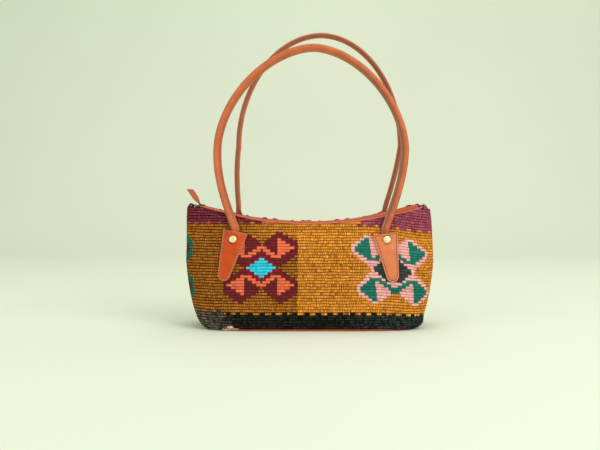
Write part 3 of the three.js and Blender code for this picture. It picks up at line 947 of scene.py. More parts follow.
@dataclass
class RepeatRow:
    """A row of one small shape, laid by a Geometry Nodes tree."""

    name: str
    tree: NodeTree
    material: Material
    length: float
    width: float
    height: float
    scatter: float = 0.08
    seed: int = 1

    def build(self, points: Array, along: Array, upward: Array) -> Object:
        """Lays the row.

        Args:
            points: The places in millimetres, one row each.
            along: The direction of each shape's length.
            upward: The direction that each shape stands in.

        Returns:
            The row, as a plain mesh.
        """
        mesh = bpy.data.meshes.new(self.name)
        mesh.from_pydata((points * MM).tolist(), [], [])
        for label, values in (("along", along), ("up", upward)):
            attribute = mesh.attributes.new(label, "FLOAT_VECTOR", "POINT")
            attribute.data.foreach_set("vector", np.asarray(values, dtype=np.float32).ravel())
        row = new_object(self.name, mesh)
        modifier = row.modifiers.new("repeats", "NODES")
        modifier.node_group = self.tree
        values = {
            "Length": self.length * MM, "Width": self.width * MM, "Height": self.height * MM,
            "Scatter": self.scatter, "Seed": self.seed, "Material": self.material,
        }
        for item in self.tree.interface.items_tree:
            if item.item_type == "SOCKET" and item.name in values:
                modifier[item.identifier] = values[item.name]
        apply_modifiers(row)
        return row

    def sew(self, lines: Sequence[tuple[Array, Array, Array]], pitch: float) -> Object:
        """Lays the row evenly along lines.

        Args:
            lines: Each line's points, with the directions along and upward at them.
            pitch: About how far apart the shapes are.

        Returns:
            The row, as a plain mesh.
        """
        rows = []
        for line in lines:
            far = distances(line[0])
            count = max(2, int(round(far[-1] / pitch)))
            places = np.interp((np.arange(count) + 0.5) * far[-1] / count, far, np.arange(len(far)))
            rows.append([at_rows(values, places) for values in line])
        return self.build(*(np.concatenate(parts) for parts in zip(*rows)))


@dataclass(frozen=True)
class RimLift:
    """How far one panel's worn edge stands above the even rim."""

    left: Ease
    right: Ease
    ear: float


@dataclass(frozen=True)
class BodyShape:
    """The bag's outer form in millimetres, at the bottom of the weave's grooves."""

    width: float = 317.4
    widest_height: float = 85.0
    base_length: float = 256.0
    base_depth: float = 86.0
    belly_depth: float = 90.0
    belly_height: float = 20.0
    base_squareness: float = 5.0
    side_flare: float = 1.2
    corner_rounding: float = 2.4
    rim_width: float = 310.0
    rim_depth: float = 33.0
    rim_corner_height: float = 156.7
    rim_sag: float = 24.7
    rim_cross_slope: float = 0.05
    rim_squareness: float = 3.0
    neck_height: float = 150.0
    front_lift: RimLift = RimLift(Ease(2.0, 60.0, 115.0), Ease(-1.0, 100.0, 136.0), 4.2)
    back_lift: RimLift = RimLift(Ease(1.6, 80.0, 126.0), Ease(2.7, 45.0, 110.0), 1.9)
    ear: Triple = (146.0, 151.0, 157.0)
    corner_drop: Ease = Ease(6.0, 136.0, 158.0)
    worn_drops: tuple[Ease, Ease] = (Ease(1.8, 141.0, 157.0), Ease(3.5, 150.5, 156.0))
    slump_span: Span = (100.0, 155.0)
    slump_side: float = 0.9
    slump_corner: float = 2.4
    foot: Ease = Ease(4.8, 95.0, 150.0)
    foot_height: float = 5.0
    foot_spread: float = 8.0

    @property
    def rim_radius(self) -> float:
        """The radius of the rim's arc as seen from the front."""
        half = self.rim_width / 2
        return (half * half + self.rim_sag ** 2) / (2 * self.rim_sag)

    @property
    def rim_centre(self) -> float:
        """The height of the centre of the rim's arc."""
        return self.rim_corner_height - self.rim_sag + self.rim_radius

    def half_width(self, z: Number) -> Number:
        """Works out half the width at a height.

        Args:
            z: The height.

        Returns:
            Half the width, widest at widest_height.
        """
        low = np.clip(z / self.widest_height, 0.0, 1.0)
        flare = (1.0 - (1.0 - low) ** self.side_flare) ** (1.0 / self.corner_rounding)
        below = lerp(self.base_length / 2, self.width / 2, flare)
        rise = (z - self.widest_height) / (self.rim_corner_height - self.widest_height)
        above = self.width / 2 - (self.width - self.rim_width) / 2 * rise ** 2
        return np.where(z < self.widest_height, below, above)

    def half_depth(self, z: Number) -> Number:
        """Works out half the depth at a height.

        Args:
            z: The height.

        Returns:
            Half the depth, from the belly to the rim.
        """
        low = np.clip(1.0 - z / self.belly_height, 0.0, 1.0)
        belly = self.belly_depth / 2 - (self.belly_depth - self.base_depth) / 2 * low ** 2
        return lerp(belly, self.rim_depth / 2, smoothstep(z, self.belly_height, self.neck_height))

    def squareness(self, z: Number) -> Number:
        """Returns how square the outline is, seen from above, at a height."""
        return lerp(self.base_squareness, self.rim_squareness, np.clip(z / self.neck_height, 0.0, 1.0))

    def depth_at(self, x: Number, z: Number) -> Number:
        """Works out the wall's distance from the middle plane.

        Args:
            x: The place across.
            z: The height.

        Returns:
            The distance in depth.
        """
        power = self.squareness(z)
        share = np.clip(np.abs(x) / self.half_width(z), 0.0, 1.0)
        return self.half_depth(z) * (1.0 - share ** power) ** (1.0 / power)

    def wall(self, share: Number, z: Number, lift: Number) -> tuple[Number, Number]:
        """Places a point of a panel so that its columns hang straight in the front view.

        Args:
            share: How far across the panel, from -1 at one seam to 1 at the other.
            z: The height.
            lift: How far outside the bottom of the grooves.

        Returns:
            The place across and the distance from the middle plane.
        """
        half, power = self.half_width(z), self.squareness(z)
        widest = self.width / 2
        spread = widest + (half - widest) * np.abs(share) ** 3
        reach = np.clip(np.abs(share) * spread / half, 0.0, 1.0)
        depth = (self.half_depth(z) + lift) * (1.0 - reach ** power) ** (1.0 / power)
        return share * (spread + lift), depth

    def columns(self, pitch: float) -> tuple[Array, Array]:
        """Divides a panel evenly along its girth at the widest height.

        Args:
            pitch: About how far apart the columns are.

        Returns:
            The girth from the panel's middle and the share across, one of each for a column.
        """
        angle = np.linspace(math.pi, 0.0, 4001)
        share = signed_power(np.cos(angle), 2 / self.squareness(self.widest_height))
        outline = self.wall(share, np.full_like(share, self.widest_height), 0.0)
        girth = distances(np.stack(outline, axis=1))
        girth -= girth[-1] / 2
        count = int(round((girth[-1] - girth[0]) / pitch))
        even = np.linspace(girth[0], girth[-1], count + 1)
        return even, np.clip(np.interp(even, girth, share), -1.0, 1.0)

    def rim_height(self, x: Number, y: Number) -> Number:
        """Returns the height of the rim over a place."""
        return self.rim_centre - np.sqrt(self.rim_radius ** 2 - x ** 2) + self.rim_cross_slope * y

    def rim_waver(self, x: Number, face: Face) -> Number:
        """Works out how far the worn edge of a panel stands above the even rim.

        Args:
            x: The place across.
            face: The panel's side.

        Returns:
            The height, which is below zero at the worn corners.
        """
        lift = self.front_lift if face is Face.FRONT else self.back_lift
        start, peak, end = self.ear
        ear = lift.ear * smoothstep(x, start, peak) * (1.0 - smoothstep(x, peak, end))
        drop = self.corner_drop.at(np.abs(x)) + sum(worn.at(x) for worn in self.worn_drops)
        return lift.left.at(-x) + lift.right.at(x) + ear - drop

    def rim_on_wall(self, share: Array, face: Face) -> Array:
        """Finds the height at which each column of a panel meets the rim.

        Args:
            share: The share across at each column.
            face: The panel's side.

        Returns:
            One height for each column.
        """
        z = np.full_like(share, self.neck_height)
        for _ in range(8):
            across, depth = self.wall(share, z, RIB_HEIGHT / 2)
            z = self.rim_height(across, face.value * depth) + self.rim_waver(-face.value * across, face)
        return z

    def slump(self, x: Number, z: Number) -> Number:
        """Works out how far the worn ends stand out sideways, past the even form.

        Args:
            x: The place across.
            z: The height.

        Returns:
            The step towards the right.
        """
        left = self.slump_side + self.slump_corner * smoothstep(z, *self.slump_span)
        foot = self.foot.at(x) * bell(z, self.foot_height, self.foot_spread)
        return foot - left * smoothstep(-x, *self.slump_span)

    def on_rim(self, x: Number, y: Number, height: Number) -> Array:
        """Places points by their distance along, across and above the rim's arc.

        Args:
            x: Where the arc's point lies across the bag.
            y: The place in depth.
            height: How far above the arc.

        Returns:
            The points, with their coordinates last.
        """
        angle = np.arcsin(x / self.rim_radius)
        radius = self.rim_radius - height
        z = self.rim_centre - radius * np.cos(angle) + self.rim_cross_slope * y
        return np.stack(np.broadcast_arrays(radius * np.sin(angle), y, z), axis=-1)


@dataclass(frozen=True)
class ScrollMotif:
    """A stepped motif: a diamond between two mirrored ribbons that end in flags.

    Sizes across are in cells of the motif, and sizes up are in weave rows from its middle row.
    """

    centre: float
    ribbon: Dye
    ground: Dye
    diamond: Dye
    glow: Dye
    cell: float = 5.0
    stretch: float = 1.07
    lean: float = 0.0
    row: float = 21.0
    diamond_half: float = 3.6
    diamond_step: float = 1.0
    diamond_rows: float = 3.0
    glow_width: float = 0.7
    flag_inner: float = 4.05
    flag_tip: float = 8.2
    flag_step: float = 1.1
    flag_blunt: float = 0.0
    tip_row: float = 7.0
    ribbon_rows: Span = (4.0, 10.0)
    ribbon_width: float = 1.05
    overlap: float = 0.72
    waist: float = 4.2
    rise: float = 1.05
    reach: float = 9.1
    fall: float = 1.12
    shoulder: float = 8.8
    top_row: float = 12.5
    notch_row: float = 8.0
    notch_half: float = 0.25
    notch_step: float = 0.25
    notch_bend: float = 0.14
    low_rise: float = 0.0
    least_climb: float = 0.1
    lowest_climb: float = -0.6

    def paint(self, dyes: Array, girth: Array) -> Array:
        """Lays the motif over a panel's colours.

        Args:
            dyes: The panel's colours, by row and column, changed in place.
            girth: The girth at each column, from the panel's middle.

        Returns:
            Whether the motif covers each place.
        """
        rows = np.arange(len(dyes))[:, None] - self.row
        step = np.abs(rows)
        ribbon_step = np.where(rows < 0, step + self.low_rise, step)
        offset = girth[None, :] - self.centre - self.lean * rows
        along = np.abs(offset) / np.where(offset < 0, self.cell * self.stretch, self.cell)
        outline = np.minimum(self.waist + self.rise * step, self.reach)
        outline = np.minimum(outline, self.reach - self.fall * (step - self.shoulder))
        past = np.minimum(ribbon_step, self.top_row) - self.notch_row
        notch = self.notch_half + self.notch_step * past + self.notch_bend * past ** 2
        ground = (step <= self.top_row) & (along >= np.where(past >= 0, notch, 0.0)) & (along <= outline)
        diamond_edge = self.diamond_half - self.diamond_step * step
        diamond = (step <= self.diamond_rows) & (along <= diamond_edge)
        glow = (step <= self.diamond_rows + 1) & (along <= diamond_edge + self.glow_width + self.diamond_step)
        first, last = self.ribbon_rows
        in_rows = (ribbon_step >= first) & (ribbon_step <= last)
        narrowing = np.clip(np.abs(ribbon_step - self.tip_row) - self.flag_blunt, 0.0, None)
        flag_edge = self.flag_tip - self.flag_step * narrowing
        flag = in_rows & (along >= self.flag_inner) & (along <= flag_edge)
        climb = self.tip_row - ribbon_step
        upper = self.ribbon_width * (1.0 + np.clip(climb, self.least_climb, None))
        zigzag = in_rows & (climb >= self.lowest_climb) & (along >= climb - self.overlap)
        zigzag &= along <= np.where(ribbon_step == first, flag_edge, upper)
        layers = (
            (ground, self.ground), (ground & glow, self.glow),
            (flag | zigzag, self.ribbon), (diamond, self.diamond),
        )
        for mask, dye in layers:
            dyes[mask] = dye.rgb
        return ground | flag | zigzag | diamond


@dataclass(frozen=True)
class WovenBit:
    """A short stretch of another colour in one row, by girth."""

    row: int
    start: float
    end: float
    dye: Dye


@dataclass(frozen=True)
class WeaveChart:
    """The colours of one panel, by weave row and girth."""

    motifs: tuple[ScrollMotif, ...]
    bits: tuple[WovenBit, ...]
    abrash: float
    dark_side: Side
    seed: int
    rows: int = 54
    dark_rows: int = 5
    band_row: int = 37
    band_drop: int = 1
    band_inset: float = 60.0
    band_slope: float = 4.0
    tooth_steps: Span = (12.5, 15.5)
    dark_tooth: Span = (5.0, 7.5)
    band_tooth: Span = (4.0, 5.5)
    bead_picks: tuple[int, ...] = (2, 2, 3, 3, 3, 4)
    abrash_waver: float = 0.6
    brown_share: float = 0.9
    brown_fade: Ease = Ease(-0.6, 30.0, 34.0)
    brown_reach: float = 90.0
    row_tone: float = 0.06
    bead_tone: float = 0.13
    tone_limits: Span = (0.35, 2.0)
    dark_grain: float = 3.6
    motif_grain: float = 0.6
    # motif_groove and brown_groove scale the painted shade in the grooves: weaker in motifs and woven bits,
    # deeper in the brown ochre.
    motif_groove: float = 0.55
    brown_groove: float = 1.45
    sunk_beads: float = 0.06
    sunk_tone: float = 0.22
    flecks: float = 0.004
    fleck_share: float = 0.55
    worn_span: Span = (92.0, 126.0)
    # Where the painted sheen on the black band rises, by girth away from the dark side.
    faded_span: Span = (15.0, 120.0)

    def teeth(self, girth: Array, rng: np.random.Generator, wide: Span) -> Array:
        """Marks the columns of an uneven row of teeth.

        Args:
            girth: The girth at each column.
            rng: The panel's own random numbers.
            wide: The narrowest and widest tooth.

        Returns:
            Whether each column lies in a tooth.
        """
        mask = np.zeros(len(girth), dtype=bool)
        place = girth[0]
        while place < girth[-1]:
            mask |= (girth >= place) & (girth < place + rng.uniform(*wide))
            place += rng.uniform(*self.tooth_steps)
        return mask

    def plain(self, girth: Array) -> tuple[Array, Array]:
        """Lays out the pattern in even colours.

        Args:
            girth: The girth at each column, from the panel's middle.

        Returns:
            Linear colours by row, column and channel, and how deep the painted groove shade is at each place.
        """
        rng = np.random.default_rng(self.seed)
        rows = np.arange(self.rows)[:, None]
        # Towards the dark side, the end away from the light, the brown ochre, the dark plum and the deeper
        # painted groove shade stand partly for a real change of dye and partly for painted shade.
        edge = self.abrash + rng.normal(0.0, self.abrash_waver, self.rows)[:, None]
        past = (girth - edge) * self.dark_side.value
        middle = self.brown_share + self.brown_fade.at(rows)
        share = np.where(past > 0, np.maximum(middle, smoothstep(past, 0.0, self.brown_reach)), 0.0)
        dyes = lerp(Dye.OCHRE.rgb, Dye.BROWN_OCHRE.rgb, share[..., None])
        groove_shades = lerp(1.0, self.brown_groove, share)
        for motif in self.motifs:
            groove_shades[motif.paint(dyes, girth)] = self.motif_groove
        shaded = girth * self.dark_side.value
        worn = smoothstep(shaded, *self.worn_span)[:, None]
        black = lerp(Dye.BLACK.rgb, Dye.WORN_BLACK.rgb, worn)
        # Painted sheen: the black band lightens towards the end that faces the light.
        black = lerp(black, Dye.FADED_BLACK.rgb, smoothstep(-shaded, *self.faded_span)[:, None])
        dyes[: self.dark_rows] = black
        tooth, raised = self.teeth(girth, rng, self.dark_tooth), worn[:, 0] > 0.5
        for row, mask in ((self.dark_rows, tooth | raised), (self.dark_rows + 1, tooth & raised)):
            dyes[row, mask] = black[mask]
        # Dark plum on the dark side: partly dye, partly painted shade.
        band = np.where((shaded < 0)[:, None], Dye.PLUM.rgb, Dye.DARK_PLUM.rgb)
        first = np.where(shaded < 0, self.band_row - self.band_drop, self.band_row)
        keep = (rows >= first) & (np.abs(girth) > self.band_inset + self.band_slope * (rows - first))
        dyes = np.where(keep[..., None], band, dyes)
        tooth = self.teeth(girth, rng, self.band_tooth) & (np.abs(girth) > self.band_inset)
        dyes[first[tooth], tooth] = dyes[first[tooth] - 1, tooth]
        dyes[HEM_ROW], groove_shades[HEM_ROW] = black, groove_shades[0]
        for bit in self.bits:
            place = (girth >= bit.start) & (girth < bit.end)
            dyes[bit.row, place] = bit.dye.rgb
            groove_shades[bit.row, place] = self.motif_groove
        return dyes, groove_shades

    def beads(self, count: int) -> Array:
        """Splits each row into uneven beads of yarn.

        Args:
            count: How many columns of faces the panel has.

        Returns:
            The number of the bead that each face belongs to, by row and column.
        """
        rng = np.random.default_rng(self.seed + 3)
        picks = rng.choice(self.bead_picks, (self.rows, count))
        starts = np.cumsum(picks, axis=1) - rng.integers(0, 6, (self.rows, 1))
        columns = np.arange(count)
        return np.stack([np.searchsorted(row, columns, side="right") for row in starts])

    def spun(self, girth: Array) -> Array:
        """Adds the unevenness of hand-spun and hand-dyed yarn to the pattern.

        Args:
            girth: The girth at each column, from the panel's middle.

        Returns:
            Linear colours and the depth of the painted groove shade, by row, column and channel.
        """
        dyes, groove_shades = self.plain(girth)
        rng = np.random.default_rng(self.seed + 9)
        beads = self.beads(len(girth))
        size = (self.rows, beads.max() + 1)
        tone = 1.0 + rng.normal(0.0, self.row_tone, self.rows)[:, None]
        grain = rng.normal(0.0, self.bead_tone, size)
        grain[rng.random(size) < self.sunk_beads] -= self.sunk_tone
        fleck = rng.random(size) < self.flecks
        rows = np.arange(self.rows)[:, None]
        grain = grain[rows, beads]
        dark = (rows <= self.dark_rows) | (rows == self.rows + HEM_ROW)
        grain *= np.where(dark, self.dark_grain, 1.0)
        grain[groove_shades < 1.0] *= self.motif_grain
        spun = dyes * np.clip(tone + grain, *self.tone_limits)[..., None]
        fleck = fleck[rows, beads] & ~dark & (groove_shades >= 1.0)
        spun[fleck] = lerp(spun[fleck], Dye.MAROON.rgb, self.fleck_share)
        return np.concatenate([np.clip(spun, 0.0, 1.0), groove_shades[..., None]], axis=-1)


@dataclass
class KilimPanel:
    """One woven panel, from side seam to side seam, with its ribs as real shape."""

    shape: BodyShape
    face: Face
    chart: WeaveChart
    finishes: Finishes
    trees: RepeatTrees
    pick: float = 0.92
    row_pitch: float = 3.5
    row_start: float = 3.1
    rib_lines: tuple[float, ...] = (0.0, 0.16, 0.5, 0.84)
    rib_profile: tuple[float, ...] = (0.0, 0.72, 1.0, 0.72)
    tight_rows: float = 5.0
    tight: float = 0.1
    wavers: tuple[tuple[Span, Span], ...] = (((0.12, 0.38), (35.0, 90.0)), ((0.08, 0.24), (9.0, 22.0)))
    droop: float = 4.5
    droop_rise: float = 0.043
    droop_span: Span = (72.0, 158.0)
    droop_height: float = 34.0
    bottom: float = 2.3
    bottom_lift: float = 0.3
    top_lift: float = 0.35
    tuck: float = 1.9
    tuck_spans: tuple[Span, Span] = ((86.0, 114.0), (100.0, 128.0))
    seam_gap: float = 0.3
    snap: float = 0.3
    swell: Ease = Ease(0.4, 8.0, 30.0)
    swell_across: Span = (29.0, 0.8)
    swell_up: Span = (23.0, 0.4)
    fold: tuple[Span, ...] = ((-0.1, 0.32), (-0.7, 0.5), (-1.6, 0.5), (-2.3, 0.3))
    inner_lines: int = 9
    bead_gap: float = 0.62
    motif_gap: float = 0.3
    gap_depths: Span = (0.4, 1.0)
    ragged: float = 0.0
    ragged_waves: tuple[Span, ...] = ((3.1, 0.0), (7.7, 1.0), (1.9, 2.0))
    ragged_span: Span = (0.2, 1.8)
    ragged_least: float = 0.45
    stitch: Triple = (1.5, 0.8, 0.5)
    stitch_scatter: float = 0.15
    stitch_rise: float = 0.05
    stitch_drop: float = 4.6
    stitch_pitch: float = 3.1
    stitched_share: float = 0.9
    flat_height: float = 160.0

    def row_of(self, lines: Array) -> Array:
        """Returns the chart's row above each line."""
        return np.clip(np.floor(lines + 0.001).astype(int), HEM_ROW, self.chart.rows - 1)

    def heights(self, lines: Array, girth: Array, share: Array) -> Array:
        """Places every line at every column, with the rows' droop and slight waver.

        Args:
            lines: The lines in weave rows.
            girth: The girth at each column.
            share: The share across at each column.

        Returns:
            Heights by line and column.
        """
        rng = np.random.default_rng(self.chart.seed + 7)
        level = self.row_start + self.row_pitch * lines - self.tight * np.clip(lines, 0.0, self.tight_rows)
        rows = self.chart.rows + 1
        waver = np.zeros((rows, len(girth)))
        for sizes, waves in self.wavers:
            size, phase, wave = (rng.uniform(*limits, (rows, 1)) for limits in (sizes, (0, math.tau), waves))
            waver += size * np.sin(girth * math.tau / wave + phase)
        low = np.floor(lines).astype(int) + 1
        part = (lines - np.floor(lines))[:, None]
        return level[:, None] - self.fall(share, level[:, None]) + lerp(waver[low], waver[low + 1], part)

    def build(self) -> None:
        """Builds the panel with its ribs, fold, inside and colours, and sews its rim."""
        girth, share = self.shape.columns(self.pick)
        columns, across = np.arange(len(girth)), np.abs(share) * self.shape.width / 2
        lines = (np.arange(-1, self.chart.rows - 1)[:, None] + np.array(self.rib_lines)).ravel()
        profile = np.tile(self.rib_profile, self.chart.rows)[:, None]
        top = self.shape.rim_on_wall(share, self.face) + self.raw_edge(girth)
        left, right = (smoothstep(across, *span) for span in self.tuck_spans)
        bottom = self.bottom - self.tuck * np.where(self.face.value * share > 0, left, right)
        z = self.heights(lines, girth, share)
        first = np.argmax(z >= top - self.snap, axis=0)
        last = (z <= bottom + self.snap).sum(axis=0) - 1
        gap = self.gaps(girth)[self.row_of(lines)]
        waves = ((across, *self.swell_across), (z, *self.swell_up))
        wide, tall = (np.sin(place / length + phase) for place, length, phase in waves)
        swell = 0.5 + 0.5 * wide * tall
        lift = RIB_HEIGHT * profile * (1.0 - self.bead_gap * gap) - swell * self.swell.at(z)
        rows = np.repeat(lines[:, None], len(girth), axis=1)
        for line, level, rise in ((first, top, self.top_lift), (last, bottom, self.bottom_lift)):
            z[line, columns], lift[line, columns] = level, rise
            rows[line, columns] = self.rows_at(level, share)
        numbers = np.clip(np.arange(len(lines))[:, None], last, first) * len(girth) + columns
        points = [self.points(np.broadcast_to(share, z.shape), z, lift).reshape(-1, 3)]
        weave = [np.stack([np.broadcast_to(columns, z.shape), rows], -1).reshape(-1, 2)]
        loops = [numbers[-1]]
        for offset, level in self.closing_lines(top, bottom):
            loops.append(columns + sum(len(block) for block in points))
            points.append(self.points(share, level, np.full_like(share, offset)))
            weave.append(np.stack([columns, self.rows_at(level, share)], -1))
        loops.append(numbers[0])
        faces, face_rows, face_columns = self.outer_faces(numbers, lines)
        top_rows = np.floor(self.rows_at(top, share)).astype(int)
        for low, high in zip(loops[:-1], loops[1:]):
            faces.extend(np.stack([low[:-1], low[1:], high[1:], high[:-1]], axis=1).tolist())
            face_rows.extend(top_rows[:-1].tolist())
            face_columns.extend(columns[:-1].tolist())
        for column in (0, len(columns) - 1):
            ring = dict.fromkeys(numbers[:, column].tolist() + [int(loop[column]) for loop in loops[1:-1]])
            faces.append(list(ring) if column == 0 else list(ring)[::-1])
            face_rows.append(self.chart.band_row + 2)
            face_columns.append(min(column, len(columns) - 2))
        points, gaps = np.concatenate(points), gap.ravel()
        gaps = np.concatenate([gaps, np.zeros(len(points) - len(gaps))])
        panel = self.mesh(points, faces, np.concatenate(weave), gaps)
        self.colour(panel, girth, face_rows, face_columns)
        settle(panel, Body.BAG, [f"kilim_{self.face.label}_panel"])
        self.topstitch(share, top)

    def gaps(self, girth: Array) -> Array:
        """Parts each row into beads, which lie closer within the motifs.

        Args:
            girth: The girth at each column of points.

        Returns:
            How deep each point is in a gap between beads, by row and column.
        """
        rng = np.random.default_rng(self.chart.seed + 5)
        middle = (girth[:-1] + girth[1:]) / 2
        numbers = self.chart.beads(len(middle))
        # Places with a weaker painted groove shade lie in a motif or a woven bit.
        covered = self.chart.plain(middle)[1] < 1.0
        parted = (numbers[:, 1:] != numbers[:, :-1]) * np.where(covered[:, 1:], self.motif_gap, 1.0)
        gap = np.zeros((len(numbers), len(girth)))
        gap[:, 1:-1] = parted * rng.uniform(*self.gap_depths, parted.shape)
        return gap

    def raw_edge(self, girth: Array) -> Array:
        """Returns how far the uneven cut edge stands above the rim at each column."""
        wave = sum(np.sin(girth / length + phase) for length, phase in self.ragged_waves)
        return self.ragged * lerp(self.ragged_least, 1.0, smoothstep(wave, *self.ragged_span))

    def points(self, share: Array, z: Array, lift: Array) -> Array:
        """Places points of the panel, with its seams held just off the middle plane.

        Args:
            share: The share across.
            z: The height.
            lift: How far outside the bottom of the grooves.

        Returns:
            The points, with their coordinates last.
        """
        across, depth = self.shape.wall(share, z, lift)
        depth = np.maximum(depth, self.seam_gap / 2)
        x = -self.face.value * across
        return np.stack([x + self.shape.slump(x, z), self.face.value * depth, z], axis=-1)

    def fall(self, share: Array, level: Array) -> Array:
        """Works out how far the rows hang down.

        Args:
            share: The share across.
            level: The height of an even row.

        Returns:
            The distance below that height.
        """
        most = self.droop + self.droop_rise * np.clip(level - self.droop_height, 0.0, None)
        low = smoothstep(level, 0.0, self.droop_height)
        return most * low * smoothstep(-self.face.value * share * self.shape.width / 2, *self.droop_span)

    def rows_at(self, z: Array, share: Array) -> Array:
        """Finds the weave row at each height.

        Args:
            z: The height at each column.
            share: The share across at each column.

        Returns:
            Rows, with the part of a row after the point.
        """
        level = z
        for _ in range(6):
            level = z + self.fall(share, level)
        above = level - self.row_start
        evened = (above + self.tight * self.tight_rows) / self.row_pitch
        return np.minimum(above / (self.row_pitch - self.tight), evened)

    def closing_lines(self, top: Array, bottom: Array) -> list[tuple[float, Array]]:
        """Lists the lines that fold over the rim and run down the inside.

        Args:
            top: The rim's height at each column.
            bottom: The lower edge's height at each column.

        Returns:
            Each line's lift and heights.
        """
        shares = np.linspace(0.0, 1.0, self.inner_lines)
        inside = [(-KILIM_THICKNESS, lerp(top, bottom, share)) for share in shares]
        return [(lift, top + rise) for lift, rise in self.fold] + inside

    def outer_faces(self, numbers: Array, lines: Array) -> tuple[Faces, list[int], list[int]]:
        """Joins the outer points into faces and leaves out the empty ones.

        Args:
            numbers: The point used at each line and column.
            lines: The lines in weave rows.

        Returns:
            The faces, and each face's row and column.
        """
        corners = np.stack([numbers[:-1, :-1], numbers[:-1, 1:], numbers[1:, 1:], numbers[1:, :-1]], axis=-1)
        full = (corners[..., 0] != corners[..., 3]) | (corners[..., 1] != corners[..., 2])
        line, column = np.nonzero(full)
        faces = [tuple(dict.fromkeys(corner)) for corner in corners[full].tolist()]
        return faces, self.row_of(lines)[line].tolist(), column.tolist()

    def mesh(self, points: Array, faces: Faces, weave: Array, gaps: Array) -> Object:
        """Makes the panel's mesh, without the points that no face uses.

        Args:
            points: All the points.
            faces: The faces.
            weave: Each point's place in picks and rows.
            gaps: Each point's share of a gap between beads.

        Returns:
            The panel with its UV map and gap attribute.
        """
        used = np.unique(np.fromiter((corner for face in faces for corner in face), dtype=np.int64))
        renumber = np.full(len(points), -1)
        renumber[used] = np.arange(len(used))
        faces = [renumber[list(face)].tolist() for face in faces]
        panel = make_piece(f"kilim_{self.face.label}", points[used], faces, self.finishes.wool)
        set_attribute(panel, "gap", gaps[used])
        corners = np.empty(len(panel.data.loops), dtype=np.int64)
        panel.data.loops.foreach_get("vertex_index", corners)
        layer = panel.data.uv_layers.new(name="weave")
        layer.uv.foreach_set("vector", weave[used][corners].astype(np.float32).ravel())
        return panel

    def colour(self, panel: Object, girth: Array, rows: list[int], columns: list[int]) -> None:
        """Stores the dye of every face, with the depth of its painted groove shade as the dye attribute's
        alpha.

        Args:
            panel: The panel's object.
            girth: The girth at each column.
            rows: Each face's weave row.
            columns: Each face's column.
        """
        dyes = self.chart.spun((girth[:-1] + girth[1:]) / 2)[rows, columns]
        sizes = np.empty(len(panel.data.polygons), dtype=np.int64)
        panel.data.polygons.foreach_get("loop_total", sizes)
        # The alpha carries the depth of the painted groove shade.
        attribute = panel.data.color_attributes.new("dye", "FLOAT_COLOR", "CORNER")
        attribute.data.foreach_set("color", np.repeat(dyes, sizes, axis=0).astype(np.float32).ravel())

    def topstitch(self, share: Array, top: Array) -> None:
        """Sews the line of stitches that holds the zip facing to the panel.

        Args:
            share: The share across at each column.
            top: The rim's height at each column.
        """
        kept = np.abs(share) < self.stitched_share
        path, outside = (
            self.points(share[kept], top[kept] - self.stitch_drop, np.full(kept.sum(), RIB_HEIGHT + rise))
            for rise in (self.stitch_rise, 1.0)
        )
        name = f"rim_stitches_{self.face.label}"
        thread = self.finishes.thread
        row = RepeatRow(name, self.trees.stitch, thread, *self.stitch, self.stitch_scatter, seed=11)
        lines = [(path, heading(path), unit(outside - path))]
        settle(row.sew(lines, self.stitch_pitch), Body.BAG)


@dataclass(frozen=True)
class TabSeat:
    """Where one tab lies on the body."""

    shape: BodyShape
    face: Face
    side: Side
    splay: float
    inset: float
    spacing: float = 190.0
    top: float = 122.0

    @property
    def name(self) -> str:
        """The seat's name, as the solids use it."""
        return f"{self.face.label}_{self.side.label}"

    @property
    def hinge(self) -> float:
        """The distance of the handle's end from the bag's middle."""
        return self.spacing / 2 - self.inset

    def point(self, down: Number, across: Number, lift: Number) -> Array:
        """Places points on the tab.

        Args:
            down: The distance from the tab's top edge.
            across: The distance from its middle line, outwards.
            lift: The distance above the weave's ribs.

        Returns:
            The points, with their coordinates last.
        """
        turn = math.radians(self.splay)
        out = self.hinge + down * math.sin(turn) + across * math.cos(turn)
        z = self.top - down * math.cos(turn) + across * math.sin(turn)
        depth = self.shape.depth_at(out, z) + RIB_HEIGHT + lift
        return np.stack(np.broadcast_arrays(self.side.value * out, self.face.value * depth, z), axis=-1)

    def normal(self, down: Number, across: Number, step: float = 0.5) -> Array:
        """Finds the direction that the body faces at places on the tab.

        Args:
            down: The distance from the tab's top edge.
            across: The distance from its middle line, outwards.
            step: How far to both sides the slope is measured.

        Returns:
            Outward directions of length one.
        """
        fall = self.point(down + step, across, 0.0) - self.point(down - step, across, 0.0)
        side = self.point(down, across + step, 0.0) - self.point(down, across - step, 0.0)
        return unit(np.cross(fall, side)) * -self.side.value * self.face.value


